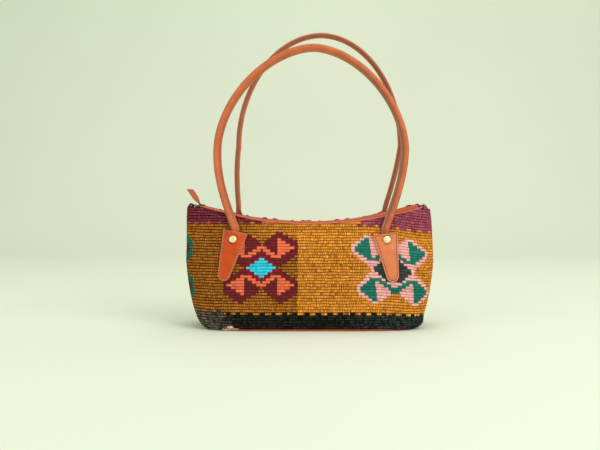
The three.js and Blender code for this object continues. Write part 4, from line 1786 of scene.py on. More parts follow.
@dataclass
class HandleMount:
    """One stitched leather tab with its rivet, over a handle's end."""

    seat: TabSeat
    leather: Material
    thread: Material
    finishes: Finishes
    trees: RepeatTrees
    trims: Span
    length: float = 62.0
    top_width: float = 32.0
    end_radius: float = 8.0
    corner: float = 0.8
    core_start: float = 15.0
    thickness: float = 2.2
    edge_rounding: float = 0.9
    over_tongue: float = 1.9
    ramp: Span = (22.0, 30.0)
    drape: Span = (6.0, 12.5)
    lip: float = 0.6
    lip_length: float = 7.0
    lip_drape: Span = (4.5, 9.5)
    puff: Ease = Ease(0.22, 2.6, 5.0)
    groove: float = 0.34
    groove_spread: float = 0.5
    # Painted shade along the sewn groove: its strength and spread.
    groove_grime: Span = (0.46, 0.55)
    dent: Span = (5.0, 1.3)
    raw_edge: Span = (0.6, 1.5)
    stitch: Triple = (2.5, 1.05, 0.6)
    stitch_inset: float = 2.2
    stitch_pitch: float = 3.7
    stitch_rise: float = 0.16
    rivet_inset: float = 10.2
    rivet_radius: float = 4.65
    rivet_height: float = 2.0
    rivet_edge: float = 0.45
    rivet_corners: int = 48
    rivet_bulge: float = 0.85
    rivet_lip: tuple[Span, Span] = ((0.35, 0.0), (0.05, 0.15))
    # Painted shade round the rivet: its strength, its distance past the head and its spread.
    rivet_grime: Triple = (0.6, 0.3, 0.8)
    post_radius: float = 1.5
    post_end: float = 0.5
    rings: tuple[float, ...] = (0.0, 0.2, 0.5, 0.9, 1.35, 1.8, 2.2, 2.6, 3.1, 4.2)
    inner_shares: tuple[float, ...] = (0.25, 0.5, 0.75, 1.0)
    underside_edge: float = 0.35

    def half(self, down: Number) -> Number:
        """Returns half the tab's width at a distance from its top edge."""
        return lerp(self.top_width / 2, self.end_radius, down / (self.length - self.end_radius))

    def outline(self) -> Array:
        """Goes round the tab's edge.

        Returns:
            Distances down and across, one row for each point.
        """
        straight = self.length - self.end_radius
        down = np.linspace(self.corner, straight, 34)
        right = np.stack([down, self.half(down)], axis=1)
        arc = np.linspace(0.0, math.pi, 21)[1:-1]
        end = np.stack([straight + self.end_radius * np.sin(arc), self.end_radius * np.cos(arc)], axis=1)
        bend = np.linspace(0.0, QUARTER_TURN, 6)[1:]
        wide = self.half(self.corner) - self.corner
        turn = np.stack([self.corner * (1 - np.sin(bend)), wide + self.corner * np.cos(bend)], axis=1)
        across = np.linspace(-wide, wide, 21)[1:-1]
        top = np.stack([np.zeros_like(across), across], axis=1)
        left = right[::-1] * (1, -1)
        edge = np.concatenate([right, end, left, turn * (1, -1), top, turn[::-1]])
        trim = lerp(*self.trims, edge[:, 1] / self.top_width + 0.5)
        edge[:, 0] += trim * (1.0 - edge[:, 0] / self.length)
        return edge

    def surface(self, flat: Array, rise: Number) -> Array:
        """Places points of the tab, which is lifted where it goes over the handle's end.

        Args:
            flat: Distances down and across, one row for each point.
            rise: The height above the tab's underside.

        Returns:
            The points, one row each.
        """
        down, across = flat.T
        wide = np.abs(across)
        over = (1.0 - smoothstep(down, *self.ramp)) * (1.0 - smoothstep(wide, *self.drape))
        lip = (1.0 - smoothstep(down, 0.0, self.lip_length)) * (1.0 - smoothstep(wide, *self.lip_drape))
        lift = CLEARANCE + self.over_tongue * over + self.lip * lip
        return self.seat.point(down, across, lift + rise)

    def from_rivet(self, flat: Array) -> Array:
        """Returns each point's distance from the rivet's middle."""
        return np.hypot(flat[:, 0] - self.rivet_inset, flat[:, 1])

    def top_face(self, inset: Number, flat: Array) -> Array:
        """Works out the height of the tab's outer face above its underside.

        Args:
            inset: The distance from the tab's edge.
            flat: Distances down and across, one row for each point.

        Returns:
            The height, rounded at the edge, sunk under the stitches and pressed round the rivet.
        """
        edge = 1.0 - np.clip(inset / self.edge_rounding, 0, 1)
        rounded = self.thickness * (0.5 + 0.5 * np.sqrt(np.clip(1.0 - edge ** 2, 0, 1)))
        sunk = self.groove * bell(inset, self.stitch_inset, self.groove_spread)
        pressed = self.groove * bell(self.from_rivet(flat), *self.dent)
        return rounded - sunk + self.puff.at(inset) - pressed

    def grime(self, inset: Array, flat: Array) -> Array:
        """Works out the painted shade in the sewn groove and in a ring round the rivet.

        Args:
            inset: The distance from the tab's edge.
            flat: Distances down and across, one row for each point.

        Returns:
            The share of painted shade, from 0 to 1.
        """
        sewn, sewn_spread = self.groove_grime
        pressed, gap, pressed_spread = self.rivet_grime
        groove = sewn * bell(inset, self.stitch_inset, sewn_spread)
        ring = pressed * bell(self.from_rivet(flat), self.rivet_radius + gap, pressed_spread)
        return np.clip(groove + ring, 0.0, 1.0)

    def build(self) -> None:
        """Builds the tab, its stitches and its rivet, and dresses the burr."""
        edge = self.outline()
        core = np.clip(edge[:, 0], self.core_start, self.length - self.end_radius)
        inward = np.stack([core, np.zeros(len(edge))], axis=1) - edge
        room = np.linalg.norm(inward, axis=1, keepdims=True)
        inward = inward / room
        layers, marks, shade_shares = [], [], []
        for inset in (room, 0.5 * room, np.full_like(room, self.underside_edge)):
            layers.append(self.surface(edge + inward * inset, 0.0))
            marks.append(np.where(inset[:, 0] < 0.5, 1.0, 0.0))
            shade_shares.append(np.zeros(len(inset)))
        insets = [np.full_like(room, inset) for inset in self.rings]
        for inset in insets + [lerp(self.rings[-1], room, share) for share in self.inner_shares]:
            flat, inset = edge + inward * inset, inset[:, 0]
            layers.append(self.surface(flat, self.top_face(inset, flat)))
            marks.append(1.0 - smoothstep(inset, *self.raw_edge))
            shade_shares.append(self.grime(inset, flat))
        tab = skin(f"leather_tab_{self.seat.name}", np.stack(layers), self.leather, caps=0)
        set_attribute(tab, "edge", np.concatenate(marks))
        set_attribute(tab, "seam", np.concatenate(shade_shares))
        merge_close(tab)
        settle(tab, Body.BAG, [f"tab_{self.seat.name}"])
        self.stitches(edge + inward * self.stitch_inset)
        self.rivet()
        dress(f"burr_{self.seat.name}", self.finishes.brass)

    def stitches(self, flat: Array) -> None:
        """Sews round the tab's edge.

        Args:
            flat: The line of stitches, as distances down and across.
        """
        flat = np.concatenate([flat, flat[:1]])
        rise = self.top_face(np.full(len(flat), self.stitch_inset), flat) + self.stitch_rise
        path = self.surface(flat, rise)
        name = f"tab_stitches_{self.seat.name}"
        row = RepeatRow(name, self.trees.stitch, self.thread, *self.stitch, seed=5)
        lines = [(path, heading(path), self.seat.normal(*flat.T))]
        settle(row.sew(lines, self.stitch_pitch), Body.BAG)

    def rivet(self) -> None:
        """Turns the rivet: a domed head with a rolled edge, on its post."""
        foot, axis = self.seat.point(self.rivet_inset, 0.0, 0.0), self.seat.normal(self.rivet_inset, 0.0)
        slant = abs(axis[1])
        seat = (self.over_tongue + 2 * CLEARANCE + self.thickness) * slant
        end = -(KILIM_THICKNESS + RIB_HEIGHT + self.post_end) * slant
        profile = [(self.post_radius, end), (self.post_radius, seat)]
        profile += [(self.rivet_radius - inset, seat + rise) for inset, rise in self.rivet_lip]
        dome = self.rivet_height - self.rivet_edge
        for bend in np.linspace(0.0, QUARTER_TURN, 9)[:-1]:
            radius = self.rivet_radius * math.cos(bend) ** self.rivet_bulge
            profile.append((radius, seat + self.rivet_edge + dome * math.sin(bend)))
        profile.append((0.0, seat + self.rivet_height))
        side = unit(np.cross(axis, (0.0, 0.0, 1.0)))
        turn = np.linspace(0.0, math.tau, self.rivet_corners, endpoint=False)[:, None]
        spoke = np.cos(turn) * side + np.sin(turn) * np.cross(axis, side)
        rings = np.stack([foot + radius * spoke + level * axis for radius, level in profile])
        rivet = skin(f"brass_rivet_{self.seat.name}", rings, self.finishes.rivet_brass, caps=1)
        merge_close(rivet)
        settle(rivet, Body.BAG, [f"rivet_{self.seat.name}"])


@dataclass
class RolledHandle:
    """One rolled leather handle with its sewn flange, flattened under both tabs."""

    shape: BodyShape
    face: Face
    body: Body
    seats: tuple[TabSeat, TabSeat]
    leather: Material
    finishes: Finishes
    trees: RepeatTrees
    bulges: Span
    widest_rise: float
    rise: float
    shift: float
    arch_power: float
    turn: float
    flange: int
    hinge_height: float = 127.1
    apex_depth: float = 10.0
    roll_width: float = 10.4
    roll_depth: float = 7.0
    roll_opening: float = 38.0
    tongue_width: float = 9.0
    tongue_thickness: float = 1.6
    tongue_length: float = 20.0
    flange_thickness: float = 2.5
    step: float = 2.6
    flatten: Span = (120.4, 127.1)
    bend: Span = (121.5, 132.5)
    wall_slope: float = 17.0
    leaning: Span = (121.0, 131.0)
    turning: Span = (130.0, 158.0)
    valley_reach: float = 1.02
    valley_step: Span = (0.6, 0.92)
    # Painted shade in the valley between roll and flange, from the left-hand to the right-hand part.
    valley_grime: Span = (0.25, 0.7)
    valley_spread: float = 0.6
    flange_edge: tuple[Span, ...] = ((1.6, 1.0), (0.6, 1.0), (0.15, 0.72), (0.0, 0.3))
    raw_edge: float = 0.5
    # Painted grey sheen on the right-hand part of the handle: where it rises along the handle, how strong it
    # is and how far it reaches over the roll.
    rubbed: Span = (0.5, 0.68)
    rubbed_share: float = 0.85
    rubbed_reach: Span = (-1.0, 0.5)
    # Painted shade along the roll's back edge.
    back_grime: float = 0.6
    back_reach: float = 1.3
    stitch: Triple = (2.3, 0.8, 0.5)
    stitch_pitch: float = 3.3
    stitch_start: float = 140.0
    stitch_inset: float = 1.5
    stitch_rise: float = 0.12

    @property
    def name(self) -> str:
        """The handle's name, as the solids use it."""
        return f"{self.face.label}_handle"

    @property
    def valley(self) -> float:
        """The place across the section where the roll meets the flange."""
        return self.roll_depth / 2 * (1.0 + self.valley_reach) - self.roll_width / 2

    def depth(self) -> float:
        """Returns how far the roll's centre is from the middle plane at the hinge."""
        wall = self.shape.depth_at(self.seats[0].hinge, self.hinge_height)
        return float(wall + RIB_HEIGHT + CLEARANCE + self.roll_depth / 2)

    def lean(self) -> float:
        """Returns the loop's lean towards the middle plane, in radians."""
        return math.atan2(self.depth() - self.apex_depth, self.rise)

    def loop(self) -> Array:
        """Follows the loop in its own plane.

        Returns:
            Places across and up from the hinge line, from the left end to the right.
        """
        hinge = self.seats[0].hinge
        share = np.linspace(0.0, 1.0, 60)
        legs = []
        for side, bulge in zip(Side, self.bulges):
            across = side.value * (hinge + bulge * np.sin(share * QUARTER_TURN)) + share * self.shift
            legs.append(np.stack([across, share * self.widest_rise], axis=1))
        angle = np.linspace(math.pi, 0.0, 241)[1:-1]
        half = hinge + np.where(angle > QUARTER_TURN, *self.bulges)
        power = 2.0 / self.arch_power
        across = half * signed_power(np.cos(angle), power) + self.shift
        up = self.widest_rise + (self.rise - self.widest_rise) * np.sin(angle) ** power
        return np.concatenate([legs[0], np.stack([across, up], axis=1), legs[1][::-1]])

    def half_thickness(self, z: Number) -> Number:
        """Returns half the handle's thickness at a height, thin under the tab."""
        return lerp(self.tongue_thickness / 2, self.roll_depth / 2, smoothstep(z, *self.flatten))

    def centre_line(self) -> Array:
        """Follows the whole handle from the end of one tongue to the end of the other.

        Returns:
            Points a step apart.
        """
        (across, up), lean = self.loop().T, self.lean()
        y = self.face.value * (self.depth() - up * math.sin(lean))
        loop = np.stack([across, y, self.hinge_height + up * math.cos(lean)], axis=1)
        down = np.linspace(self.tongue_length, 0.0, 24)
        ends = []
        for seat in self.seats:
            lift = CLEARANCE + self.half_thickness(seat.point(down, 0.0, 0.0)[:, 2])
            ends.append(seat.point(down, 0.0, lift))
        path = np.concatenate([ends[0], loop, ends[1][::-1]])
        far = distances(path)
        even = np.linspace(0.0, far[-1], int(far[-1] / self.step))
        return at_rows(path, np.interp(even, far, np.arange(len(far))))

    def section(self) -> Array:
        """Draws the teardrop section: a round roll and a flat flange.

        Returns:
            Places along the width and the depth, in millimetres.
        """
        roll, half, thin = self.roll_depth / 2, self.roll_width / 2, self.flange_thickness / 2
        centre = roll - half
        angles = np.linspace(math.pi, math.radians(self.roll_opening), 12)
        upper = [(centre + roll * math.cos(angle), roll * math.sin(angle)) for angle in angles]
        step, thinned = self.valley_step
        upper += [(self.valley, thin), (self.valley + step, thin * thinned)]
        upper += [(half - inset, thin * share) for inset, share in self.flange_edge]
        return np.array(upper + [(wide, -deep) for wide, deep in upper[:0:-1]])

    def frames(self, path: Array) -> tuple[Array, Array]:
        """Finds the directions of the section at each point of the handle.

        Args:
            path: The centre line.

        Returns:
            The directions of the section's width and depth.
        """
        along = heading(path)
        tilt = lerp(math.radians(self.wall_slope), self.lean(), smoothstep(path[:, 2], *self.leaning))
        out = np.stack([np.zeros(len(path)), self.face.value * np.cos(tilt), np.sin(tilt)], axis=1)
        out = unit(out - np.sum(out * along, axis=1, keepdims=True) * along)
        across = np.cross(along, out)
        turn = math.radians(self.turn) * smoothstep(path[:, 2], *self.turning)[:, None]
        return across * np.cos(turn) + out * np.sin(turn), out * np.cos(turn) - across * np.sin(turn)

    def build(self) -> None:
        """Builds the handle, from under one tab to under the other, and its stitches, which ride on the
        handle's body.
        """
        path = self.centre_line()
        wide_way, deep_way = self.frames(path)
        section = self.section() * (self.flange, 1)
        thick = self.half_thickness(path[:, 2]) / (self.roll_depth / 2)
        wide = lerp(self.tongue_width / self.roll_width, 1.0, smoothstep(path[:, 2], *self.flatten))
        rings = path[:, None] + (section[:, 0] * wide[:, None])[..., None] * wide_way[:, None]
        rings = rings + (section[:, 1] * thick[:, None])[..., None] * deep_way[:, None]
        handle = skin(f"rolled_{self.name}", rings, self.leather)
        self.mark(handle, section[:, 0] * self.flange, len(path))
        hinge = (0.0, self.face.value * self.depth() * MM)
        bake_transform(handle)
        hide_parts(self.name, *(f"tongue_{seat.name}" for seat in self.seats))
        LOG.info("%s bends from bag to %s", handle.name, self.body.value)
        self.stitches(path, wide_way, deep_way)

    def mark(self, handle: Object, width: Array, count: int) -> None:
        """Stores where the leather is raw, where a painted grey sheen lies, and where painted shade darkens
        the roll's back edge and the valley by the flange.

        Args:
            handle: The handle's object.
            width: Each section point's place across the width, towards the flange.
            count: How many sections there are.
        """
        half = self.roll_width / 2
        # Painted sheen: the right-hand part takes the grey edge colour on the roll beside the flange.
        right = smoothstep(np.linspace(0.0, 1.0, count), *self.rubbed)[:, None]
        raw = np.where(width > half - self.raw_edge, 1.0, 0.0)
        reach = (self.valley + step for step in self.rubbed_reach)
        edge = raw + self.rubbed_share * right * smoothstep(width, *reach)
        # Painted shade along the roll's back edge and in the valley, deeper on the right-hand part.
        seam = self.back_grime * (1.0 - smoothstep(width, -half, self.back_reach - half))
        seam = seam + lerp(*self.valley_grime, right) * bell(width, self.valley, self.valley_spread)
        set_attribute(handle, "edge", np.clip(edge, 0.0, 1.0))
        set_attribute(handle, "seam", seam)

    def stitches(self, path: Array, wide_way: Array, deep_way: Array) -> None:
        """Sews the flange on both faces.

        Args:
            path: The centre line.
            wide_way: The direction of the section's width at each point.
            deep_way: The direction of its depth.
        """
        kept = path[:, 2] > self.stitch_start
        inset = self.flange * (self.roll_width / 2 - self.stitch_inset)
        rise = self.flange_thickness / 2 + self.stitch_rise
        lines = []
        for sign in (-1, 1):
            line = path + inset * wide_way + sign * rise * deep_way
            lines.append([values[kept] for values in (line, heading(path), sign * deep_way)])
        name = f"{self.name}_stitches"
        row = RepeatRow(name, self.trees.stitch, self.finishes.dark_thread, *self.stitch, seed=3)
        settle(row.sew(lines, self.stitch_pitch), self.body)


@dataclass(frozen=True)
class TailForm:
    """How far one gathered tail of the tape reaches out, rises and dips."""

    reach: float
    crest: float
    dip: float


@dataclass
class ZipClosure:
    """The zip along the rim, with its leather facings, tapes, teeth, stops, slider and pull."""

    shape: BodyShape
    finishes: Finishes
    trees: RepeatTrees
    facing_half: float = 141.0
    facing_inner: float = 4.5
    facing_depth: float = 14.0
    facing_lip: float = 0.35
    facing_round: float = 0.3
    facing_foot: Span = (-0.3, 0.78)
    facing_lip_section: tuple[Span, ...] = (
        (-0.1, 0.78), (0.0, 1.0), (0.05, 1.25), (-0.25, 1.6), (-0.8, 1.75), (-1.6, 1.7),
    )
    facing_seam: Span = (-1.8, 1.65)
    facing_inner_section: tuple[Span, ...] = ((1.2, 1.6), (0.3, 1.35), (0.0, 0.9), (0.0, 0.1))
    facing_raw_corners: range = range(3, 8)
    facing_waver: Span = (0.0, 4.0)
    facing_thread: Triple = (2.2, 0.6, 0.4)
    facing_level: float = 1.78
    facing_stitch: float = 2.6
    facing_pitch: float = 3.2
    teeth_half: float = 146.8
    tooth_pitch: float = 3.4
    tooth_length: float = 1.7
    tooth_width: float = 2.4
    tooth_middle: float = 2.3
    tooth_height: float = 2.7
    tooth_scatter: float = 0.02
    teeth_level: float = -1.0
    tape_half: float = 149.5
    tape_spread: Triple = (3.3, 3.8, 10.4)
    tape_levels: Span = (-1.4, -0.6)
    tape_fold: float = 3.4
    tape_fold_length: float = 3.2
    left_tail: TailForm = TailForm(8.8, 3.3, 2.2)
    right_tail: TailForm = TailForm(3.2, 0.8, 5.0)
    tail_half: Span = (3.4, 1.4)
    tail_start: float = 0.8
    tail_root: float = 2.0
    tail_sweep: float = 1.7
    tail_arch: Span = (0.95, 1.6)
    tail_pinch: Triple = (0.4, 0.84, 0.5)
    tail_crinkle: Triple = (0.2, 3.0, 9.0)
    pull_foot: Triple = (-141.49, 0.0, 155.47)
    pull_lean: float = -34.0
    pull_start: float = 12.8
    pull_end: float = 27.9
    pull_width: float = 6.8
    pull_thickness: float = 2.4
    pull_slant: float = 4.8
    pull_cut: float = 14.0
    pull_pitch: float = 2.9
    pull_rounding: float = 0.6
    pull_raw_edge: float = 0.05
    pull_inset: float = 1.3
    pull_margin: float = 1.8
    pull_thread: Triple = (2.0, 0.6, 0.4)
    stations: int = 140

    def build(self) -> None:
        """Builds every piece of the zip."""
        for face in Face:
            self.facing(face)
            self.tape(face)
            self.teeth(face)
        for side in Side:
            self.tail(side)
        metals = (
            ("zip_top_stop", "zip_top_stop_rounded", 0.3, Body.BAG, "brass"),
            ("zip_bottom_stop", "zip_bottom_stop_rounded", 0.3, Body.BAG, "brass"),
            ("zip_slider", "zip_slider_body", 0.25, Body.SLIDER, "gunmetal"),
            ("zip_pull_ring", "zip_pull_wire", 0.05, Body.PULL, "gunmetal"),
        )
        for node, name, width, body, slot in metals:
            metal = self.finishes.brass if slot == "brass" else self.finishes.gunmetal
            settle(softened(node, name, width, metal), body, [node])
        self.pull()

    def pull(self) -> None:
        """Builds the leather pull, cut at a slant at its free end, and sews its two layers."""
        lean = math.radians(self.pull_lean)
        along = np.array((math.sin(lean), 0.0, math.cos(lean)))
        across = np.array((math.cos(lean), 0.0, -math.sin(lean)))
        foot = np.array(self.pull_foot)
        pull = softened("zip_pull", "zip_pull_leather", self.pull_rounding, self.finishes.handle)
        points = np.array([vertex.co for vertex in pull.data.vertices]) / MM
        share = (points - foot) @ across / self.pull_width + 0.5
        near_end = smoothstep((points - foot) @ along, self.pull_end - self.pull_cut, self.pull_end)
        moved = points - (self.pull_slant * share * near_end)[:, None] * along
        pull.data.vertices.foreach_set("co", (moved * MM).ravel())
        set_attribute(pull, "edge", np.abs(points[:, 1]) < self.pull_thickness / 2 - self.pull_raw_edge)
        settle(pull, Body.PULL, ["zip_pull"])
        places, normals = [], []
        for face in Face:
            for side in Side:
                inset = side.value * (self.pull_width / 2 - self.pull_inset)
                far = self.pull_end - self.pull_margin - self.pull_slant * (inset / self.pull_width + 0.5)
                reach = np.arange(self.pull_start, far, self.pull_pitch)[:, None]
                outward = np.array((0.0, face.value, 0.0))
                places.append(foot + reach * along + inset * across + self.pull_thickness / 2 * outward)
                normals.append(np.broadcast_to(outward, places[-1].shape))
        thread = self.finishes.dark_thread
        row = RepeatRow("zip_pull_stitches", self.trees.stitch, thread, *self.pull_thread, seed=4)
        points = np.concatenate(places)
        sewn = row.build(points, np.broadcast_to(along, points.shape), np.concatenate(normals))
        settle(sewn, Body.PULL)

    def facing(self, face: Face) -> None:
        """Builds a facing, a leather strip from the zip to the panel's folded edge, and its stitches.

        Args:
            face: The side that it lies on. Only at the front does it reach just over the edge.
        """
        x = np.linspace(-self.facing_half, self.facing_half, self.stations)
        outer = self.shape.depth_at(x, self.shape.rim_height(x, face.value * self.facing_depth))
        inside = outer - KILIM_THICKNESS - CLEARANCE
        lip = outer + self.facing_lip if face is Face.FRONT else inside
        inner = np.full_like(x, self.facing_inner)
        low, high = self.facing_foot
        corners = [(inner + self.facing_round, low), (inside, low), (inside, high)]
        sections = (
            (lip, self.facing_lip_section), (inside, (self.facing_seam,)), (inner, self.facing_inner_section),
        )
        for start, section in sections:
            corners += [(start + step, height) for step, height in section]
        waver = self.shape.rim_waver(x, face)
        rings = []
        for y, height in corners:
            ring = self.shape.on_rim(x, face.value * y, height)
            ring[:, 2] += waver * smoothstep(y - inner, *self.facing_waver)
            rings.append(ring)
        strip = skin(f"leather_facing_{face.label}", np.stack(rings, axis=1), self.finishes.facing)
        marks = [number in self.facing_raw_corners for number in range(len(corners))]
        set_attribute(strip, "edge", np.tile(marks, len(x)))
        settle(strip, Body.BAG, [f"zip_facing_{face.label}"])
        line, above = (
            self.shape.on_rim(x, face.value * (inner + self.facing_stitch), level)
            for level in (self.facing_level, self.facing_level + 1.0)
        )
        name = f"facing_stitches_{face.label}"
        row = RepeatRow(name, self.trees.stitch, self.finishes.thread, *self.facing_thread, seed=9)
        sewn = row.sew([(line, heading(line), unit(above - line))], self.facing_pitch)
        settle(sewn, Body.BAG)

    def tape(self, face: Face) -> None:
        """Builds a tape, with its ends folded up behind the teeth.

        Args:
            face: The side that it lies on.
        """
        x = np.linspace(-self.tape_half, self.tape_half, self.stations)
        fold = self.tape_fold * smoothstep(np.abs(x), self.tape_half - self.tape_fold_length, self.tape_half)
        wall = self.shape.depth_at(x, self.shape.rim_height(x, 0.0))
        inner, narrowest, widest = self.tape_spread
        outer = np.clip(wall - KILIM_THICKNESS - CLEARANCE, narrowest, widest)
        low, high = self.tape_levels
        corners = ((inner, low), (outer, low), (outer, high), (inner, high))
        rings = [self.shape.on_rim(x, face.value * y, height + fold) for y, height in corners]
        tape = skin(f"cotton_tape_{face.label}", np.stack(rings, axis=1), self.finishes.tape)
        settle(tape, Body.BAG, [f"zip_tape_{face.label}"])

    def tail(self, side: Side) -> None:
        """Builds the gathered tail of the tape that fills the corner of the rim at one end.

        Args:
            side: The end that it stands at.
        """
        form = self.left_tail if side is Side.LEFT else self.right_tail
        share = np.linspace(0.0, 1.0, 25)
        x = self.teeth_half + self.tail_start + form.reach * np.sin(share * self.tail_sweep)
        half_turns, power = self.tail_arch
        rise = form.crest * np.sin(share * math.pi * half_turns) ** power - form.dip * share ** 2
        level = self.shape.rim_height(self.tape_half - self.tail_root, 0.0)
        spine = np.stack([side.value * x, np.zeros_like(x), level + rise], axis=1)
        turn = np.linspace(0.0, math.tau, 16, endpoint=False)
        least, half_turns, power = self.tail_pinch
        pinch = lerp(least, 1.0, np.sin(share * math.pi * half_turns) ** power)[:, None]
        size, folds, twist = self.tail_crinkle
        crinkle = pinch * (1.0 + size * np.sin(folds * turn + twist * share[:, None]))
        wide, thick = self.tail_half
        upward = unit(np.cross(heading(spine), np.array((0.0, 1.0, 0.0)))) * -side.value
        rings = spine[:, None] + (thick * np.sin(turn) * crinkle)[..., None] * upward[:, None]
        rings[..., 1] += wide * np.cos(turn) * crinkle
        tail = skin(f"cotton_tape_tail_{side.label}", rings, self.finishes.tape)
        merge_close(tail)
        settle(tail, Body.BAG)

    def teeth(self, face: Face) -> None:
        """Lays the teeth of one side.

        Args:
            face: The side whose tape carries them.
        """
        start = self.tooth_length / 2 - self.teeth_half + (self.tooth_pitch / 2 if face is Face.BACK else 0.0)
        x = np.arange(start, self.teeth_half - self.tooth_length / 2, self.tooth_pitch)
        places, above = (
            self.shape.on_rim(x, face.value * self.tooth_middle, level)
            for level in (self.teeth_level, self.teeth_level + 1.0)
        )
        upward = unit(above - places)
        inward = np.broadcast_to((0.0, -face.value, 0.0), upward.shape)
        sizes = (self.tooth_length, self.tooth_width, self.tooth_height)
        name, brass = f"brass_teeth_{face.label}", self.finishes.brass
        row = RepeatRow(name, self.trees.tooth, brass, *sizes, self.tooth_scatter, seed=2)
        teeth = row.build(places, np.cross(inward, upward), upward)
        settle(teeth, Body.BAG, [f"zip_teeth_{face.label}"])


@dataclass
class BasePiece:
    """The leather base, drawn in at its ends so that the panels wrap over it."""

    shape: BodyShape
    finishes: Finishes
    end_inset: float = 9.0
    side_reach: float = 0.5
    stations: int = 180
    levels: tuple[Span, ...] = (
        (0.0, -4.0), (0.0, -2.0), (0.25, -1.0), (0.7, -0.35),
        (1.25, 0.0), (1.7, -0.15), (2.0, -0.8), (2.0, -4.0),
    )

    def build(self) -> None:
        """Builds the base and dresses the board on it."""
        angle = np.linspace(0.0, math.tau, self.stations, endpoint=False)
        power = 2 / self.shape.base_squareness
        rings = []
        for z, grow in self.levels:
            half = self.shape.half_width(np.array(z)) - self.end_inset + grow
            deep = self.shape.half_depth(np.array(z)) + grow + self.side_reach
            x, y = half * signed_power(np.cos(angle), power), deep * signed_power(np.sin(angle), power)
            rings.append(np.stack([x, y, np.full_like(x, z)], axis=1))
        base = skin("leather_base_plate", np.stack(rings), self.finishes.base)
        settle(base, Body.BAG, ["leather_base"])
        dress("base_board", self.finishes.board)


@dataclass(frozen=True)
class SoftLight:
    """A soft square light that faces the bag, with its place and size in metres and its power in watts."""

    name: str
    place: Triple
    size: float
    power: float
    tint: Triple
    target: Triple = (0.0, 0.0, 0.17)

    def build(self) -> None:
        """Adds the light."""
        lamp = bpy.data.lights.new(self.name, "AREA")
        lamp.size = self.size
        lamp.energy = self.power
        lamp.color = self.tint
        stand = new_object(self.name, lamp)
        stand.location = self.place
        aim = Vector(self.target) - Vector(self.place)
        stand.rotation_euler = aim.to_track_quat("-Z", "Y").to_euler()


@dataclass
class Studio:
    """The floor, backdrop, lights and camera, in metres."""

    finishes: Finishes
    camera_place: Triple = (-0.0130, -0.856, 0.1703)
    camera_dip: float = 0.047
    lens: float = 39.6
    clip_start: float = 0.01
    wall: float = 1.9
    half_width: float = 4.0
    near: float = -3.0
    cove: float = 0.9
    height: float = 3.2
    floor: float = -0.0003
    sky: float = 0.62
    sky_colour: str = "f3f8ea"
    lights: tuple[SoftLight, ...] = (
        SoftLight("key", (1.5, -1.25, 1.35), 1.5, 26.0, (1.0, 0.985, 0.95)),
        SoftLight("fill", (-1.6, -1.2, 0.9), 1.6, 9.0, (0.97, 1.0, 0.97)),
        SoftLight("top", (0.1, 0.2, 1.9), 1.4, 9.0, (1.0, 1.0, 0.98)),
    )

    def build(self) -> None:
        """Sets up the stage, the lights and the camera."""
        bend = np.linspace(0.0, QUARTER_TURN, 25)
        y = np.concatenate([[self.near], self.wall - self.cove + self.cove * np.sin(bend), [self.wall]])
        z = np.concatenate([[0.0], self.cove * (1 - np.cos(bend)), [self.height]]) + self.floor
        sides = [np.stack([np.full_like(y, x), y, z], axis=1) for x in (-self.half_width, self.half_width)]
        count = len(y)
        faces = [(i, i + count, i + count + 1, i + 1) for i in range(count - 1)]
        stage = make_piece("studio_stage", np.concatenate(sides) / MM, faces, self.finishes.stage)
        for light in self.lights:
            light.build()
        scene = bpy.context.scene
        scene.world = bpy.data.worlds.new("studio")
        scene.world.use_nodes = True
        sky = scene.world.node_tree.nodes["Background"].inputs
        sky["Color"].default_value = linear(self.sky_colour)
        sky["Strength"].default_value = self.sky
        lens = bpy.data.cameras.new("camera")
        lens.lens = self.lens
        lens.sensor_fit = "HORIZONTAL"
        lens.clip_start = self.clip_start
        scene.camera = new_object("camera", lens)
        scene.camera.location = self.camera_place
        scene.camera.rotation_euler = (QUARTER_TURN - self.camera_dip, 0.0, 0.0)
        scene.view_settings.view_transform = "Standard"


def coral_scroll(centre: float) -> ScrollMotif:
    """Returns the coral and maroon motif with a blue diamond at a place."""
    return ScrollMotif(centre, Dye.CORAL, Dye.MAROON, Dye.BLUE, Dye.CRIMSON, low_rise=1.0)


def pink_scroll(centre: float) -> ScrollMotif:
    """Sets out the broad pink and green motif at a place.

    Args:
        centre: The girth at the motif's middle.

    Returns:
        The motif.
    """
    return ScrollMotif(
        centre, Dye.GREEN, Dye.PINK, Dye.SLATE, Dye.PINK, cell=5.6, stretch=0.955, lean=-0.42, row=20.5,
        diamond_half=4.75, diamond_step=0.78, diamond_rows=3.5, flag_inner=4.5, flag_tip=8.2, flag_step=0.85,
        flag_blunt=0.6, ribbon_rows=(3.5, 10.5), waist=4.7, rise=0.72, reach=9.1, fall=0.95, shoulder=8.1,
        top_row=11.5, notch_row=7.5, notch_half=0.3, notch_step=0.95, notch_bend=0.0,
    )


def end_scroll(centre: float) -> ScrollMotif:
    """Sets out the teal and maroon motif that wraps round an end.

    Args:
        centre: The girth at the motif's middle.

    Returns:
        The motif.
    """
    return ScrollMotif(
        centre, Dye.MAROON, Dye.TEAL, Dye.MAROON, Dye.TEAL, cell=5.2, stretch=1.0, flag_tip=9.0,
        flag_step=0.7, flag_blunt=1.0, tip_row=6.5, ribbon_rows=(4.0, 9.0), waist=6.6, rise=0.8,
        reach=9.9, fall=0.9, shoulder=9.3, notch_step=0.84, notch_bend=0.0,
    )


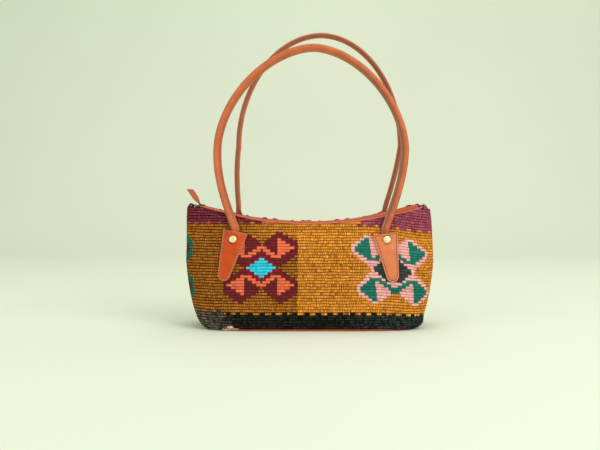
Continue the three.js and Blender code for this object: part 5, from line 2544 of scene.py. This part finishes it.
def front_chart() -> WeaveChart:
    """Works out the front panel's colours.

    Returns:
        Three motifs, and the bits of colour that show at the lower edge.
    """
    motifs = (coral_scroll(-61.2), pink_scroll(103.0), end_scroll(-201.0))
    bits = (
        WovenBit(HEM_ROW, -116.0, -91.0, Dye.PINK), WovenBit(0, -107.5, -98.5, Dye.PINK),
        WovenBit(HEM_ROW, 114.0, 134.0, Dye.MAROON),
    )
    return WeaveChart(motifs, bits, abrash=-16.0, dark_side=Side.LEFT, seed=41)


def back_chart() -> WeaveChart:
    """Returns the back panel's colours, which carry on round the ends."""
    motifs = (coral_scroll(-2.0), pink_scroll(-140.0), end_scroll(150.0))
    return WeaveChart(motifs, (), abrash=58.0, dark_side=Side.RIGHT, seed=77, band_inset=22.0)


def main() -> None:
    """Builds the bag in order, from its studio to its handles."""
    logging.basicConfig(level=logging.INFO, format="%(name)s: %(message)s")
    shape, finishes, trees = BodyShape(), Finishes(), RepeatTrees()
    Studio(finishes).build()
    KilimPanel(shape, Face.FRONT, front_chart(), finishes, trees).build()
    KilimPanel(shape, Face.BACK, back_chart(), finishes, trees, ragged=2.6).build()
    BasePiece(shape, finishes).build()
    dress("lining", finishes.cotton)
    ZipClosure(shape, finishes, trees).build()
    splays = zip(Side, (14.0, 8.0))
    front = tuple(TabSeat(shape, Face.FRONT, side, splay, inset=0.0) for side, splay in splays)
    back = tuple(TabSeat(shape, Face.BACK, side, splay=11.0, inset=3.0) for side in Side)
    for seat in front + back:
        # Right tabs take the paler leather, which is partly painted light.
        if seat.side is Side.LEFT:
            leather, thread, trims = finishes.rust_tab, finishes.grey_thread, (-2.0, 0.0)
        else:
            leather, thread, trims = finishes.pale_tab, finishes.dark_thread, (2.2, 2.2)
        HandleMount(seat, leather, thread, finishes, trees, trims).build()
    RolledHandle(
        shape, Face.FRONT, Body.FRONT_HANDLE, front, finishes.handle, finishes, trees, bulges=(26.5, 21.0),
        widest_rise=99.5, rise=228.6, shift=4.0, arch_power=1.76, turn=0.0, flange=1,
    ).build()
    RolledHandle(
        shape, Face.BACK, Body.BACK_HANDLE, back, finishes.back_handle, finishes, trees, bulges=(16.0, 13.0),
        widest_rise=106.0, rise=248.9, shift=14.3, arch_power=1.94, turn=90.0, flange=-1,
    ).build()


if __name__ == "__main__":
    main()
